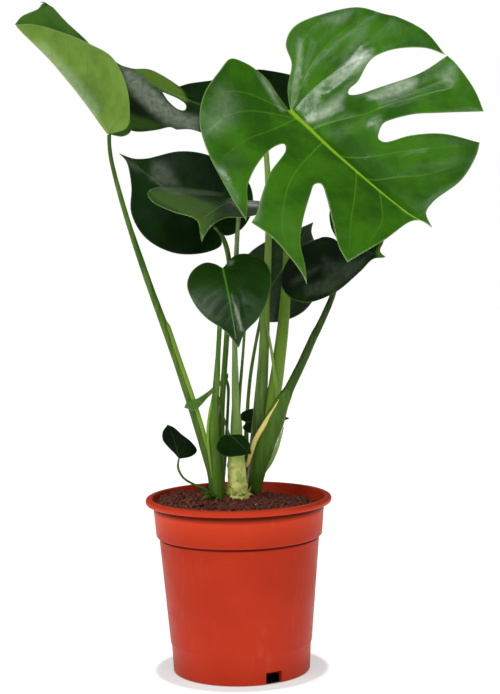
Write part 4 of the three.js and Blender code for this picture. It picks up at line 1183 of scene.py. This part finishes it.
def make_floor():
    """A pale floor: painted shade under the pot, a soft grey painted shadow round its foot, and white
    beyond.

    Away from the pot it glows, so that it fades into the surround.
    """
    s = Shader("floor", Roughness=0.9, Specular_IOR_Level=0.0, Emission_Color=(1, 1, 1, 1))
    away = s.add("ShaderNodeVectorMath")
    away.operation = "LENGTH"
    s.feed(away.inputs[0], s.place())
    metres = away.outputs["Value"]
    # Painted shade: dark and without glow under the pot, and a grey painted shadow round its foot.
    open_floor = s.ramp(metres, 0.058, 0.064)
    shade = s.ramp(metres, 0.076, 0.084, 0.52, 1.0)
    color = s.mix(s.ramp(s.noise(3, 2), 0.3, 0.7), srgb(160, 160, 159), srgb(166, 166, 165))
    color = s.mix(open_floor, srgb(30, 34, 28), color)
    material = s.finish(color, **{"Emission Strength": s.times(shade, open_floor)})
    sides, reach, level = 64, 6000, -0.2
    points = circle_points(reach, level, np.linspace(0, 2 * math.pi, sides, endpoint=False))
    add_object("studio_floor", points, [tuple(range(sides))], [material])


# Each lamp's azimuth (0 is the camera's side and it grows to the right), elevation, distance
# from the plant's middle, size and power.
LAMPS = {
    "lamp_above": (-14, 70, 1.5, (0.34, 0.24), 5),
    "lamp_left": (-46, 25, 1.8, (1.0, 0.8), 12.5),
    "lamp_low": (-10, 8, 1.8, (0.9, 0.6), 4.2),
    "lamp_right": (54, 20, 1.6, (0.25, 0.8), 2.2),
    "lamp_strip": (33, 43, 1.6, (1.3, 0.14), 4.2),
    "lamp_back": (-106, 48, 1.6, (0.3, 0.3), 1.3),
    "lamp_rear": (177, 28, 1.6, (0.8, 0.3), 1.8),
}


def studio_lamp(name, azimuth, elevation, distance, size, strength):
    """A softbox that faces the plant."""
    aim = Vector((0, 0, 0.42))
    a, e = radians(azimuth), radians(elevation)
    at = aim + distance * Vector((math.sin(a) * math.cos(e), -math.cos(a) * math.cos(e), math.sin(e)))
    data = bpy.data.lights.new(name, "AREA")
    data.shape = "RECTANGLE"
    data.size, data.size_y = size
    data.energy = strength
    lamp = bpy.data.objects.new(name, data)
    lamp.location = at
    lamp.rotation_euler = (aim - at).to_track_quat("-Z", "Y").to_euler()
    bpy.context.scene.collection.objects.link(lamp)


def make_world(seen, lit):
    """A white surround that lights the plant less than it shows."""
    world = bpy.data.worlds.new("studio")
    tree = Nodes(world)
    to_camera = tree.add("ShaderNodeLightPath").outputs["Is Camera Ray"]
    strength = tree.add("ShaderNodeMapRange", Value=to_camera, To_Min=lit, To_Max=seen).outputs["Result"]
    background = tree.add("ShaderNodeBackground", Color=(1, 1, 1, 1), Strength=strength)
    tree.add("ShaderNodeOutputWorld", Surface=background.outputs["Background"])
    bpy.context.scene.world = world


CAMERA = dict(distance=1.466666, height=0.406164, lens=83.975, yaw=0.513, pitch=4.292, roll=-1.114)


def make_camera():
    """The photograph's camera, solved from the pot's ellipses; angles in degrees."""
    yaw, pitch, roll = (radians(CAMERA[k]) for k in ("yaw", "pitch", "roll"))
    level = math.cos(pitch)
    forward = Vector((math.sin(yaw) * level, math.cos(yaw) * level, -math.sin(pitch)))
    right = Vector((math.cos(yaw), -math.sin(yaw), 0))
    up = right.cross(forward)
    c, s = math.cos(roll), math.sin(roll)
    right, up = c * right + s * up, -s * right + c * up
    data = bpy.data.cameras.new("camera")
    data.lens = CAMERA["lens"]
    data.sensor_width = 36
    data.clip_end = 50
    camera = bpy.data.objects.new("camera", data)
    place = Matrix((right, up, -forward)).transposed().to_4x4()
    place.translation = (0, -CAMERA["distance"], CAMERA["height"])
    camera.matrix_world = place
    bpy.context.scene.collection.objects.link(camera)
    bpy.context.scene.camera = camera


make_floor()
for lamp_name, settings in LAMPS.items():
    studio_lamp(lamp_name, *settings)
make_world(seen=1.0, lit=0.13)
bpy.context.scene.view_settings.view_transform = "Standard"
make_camera()
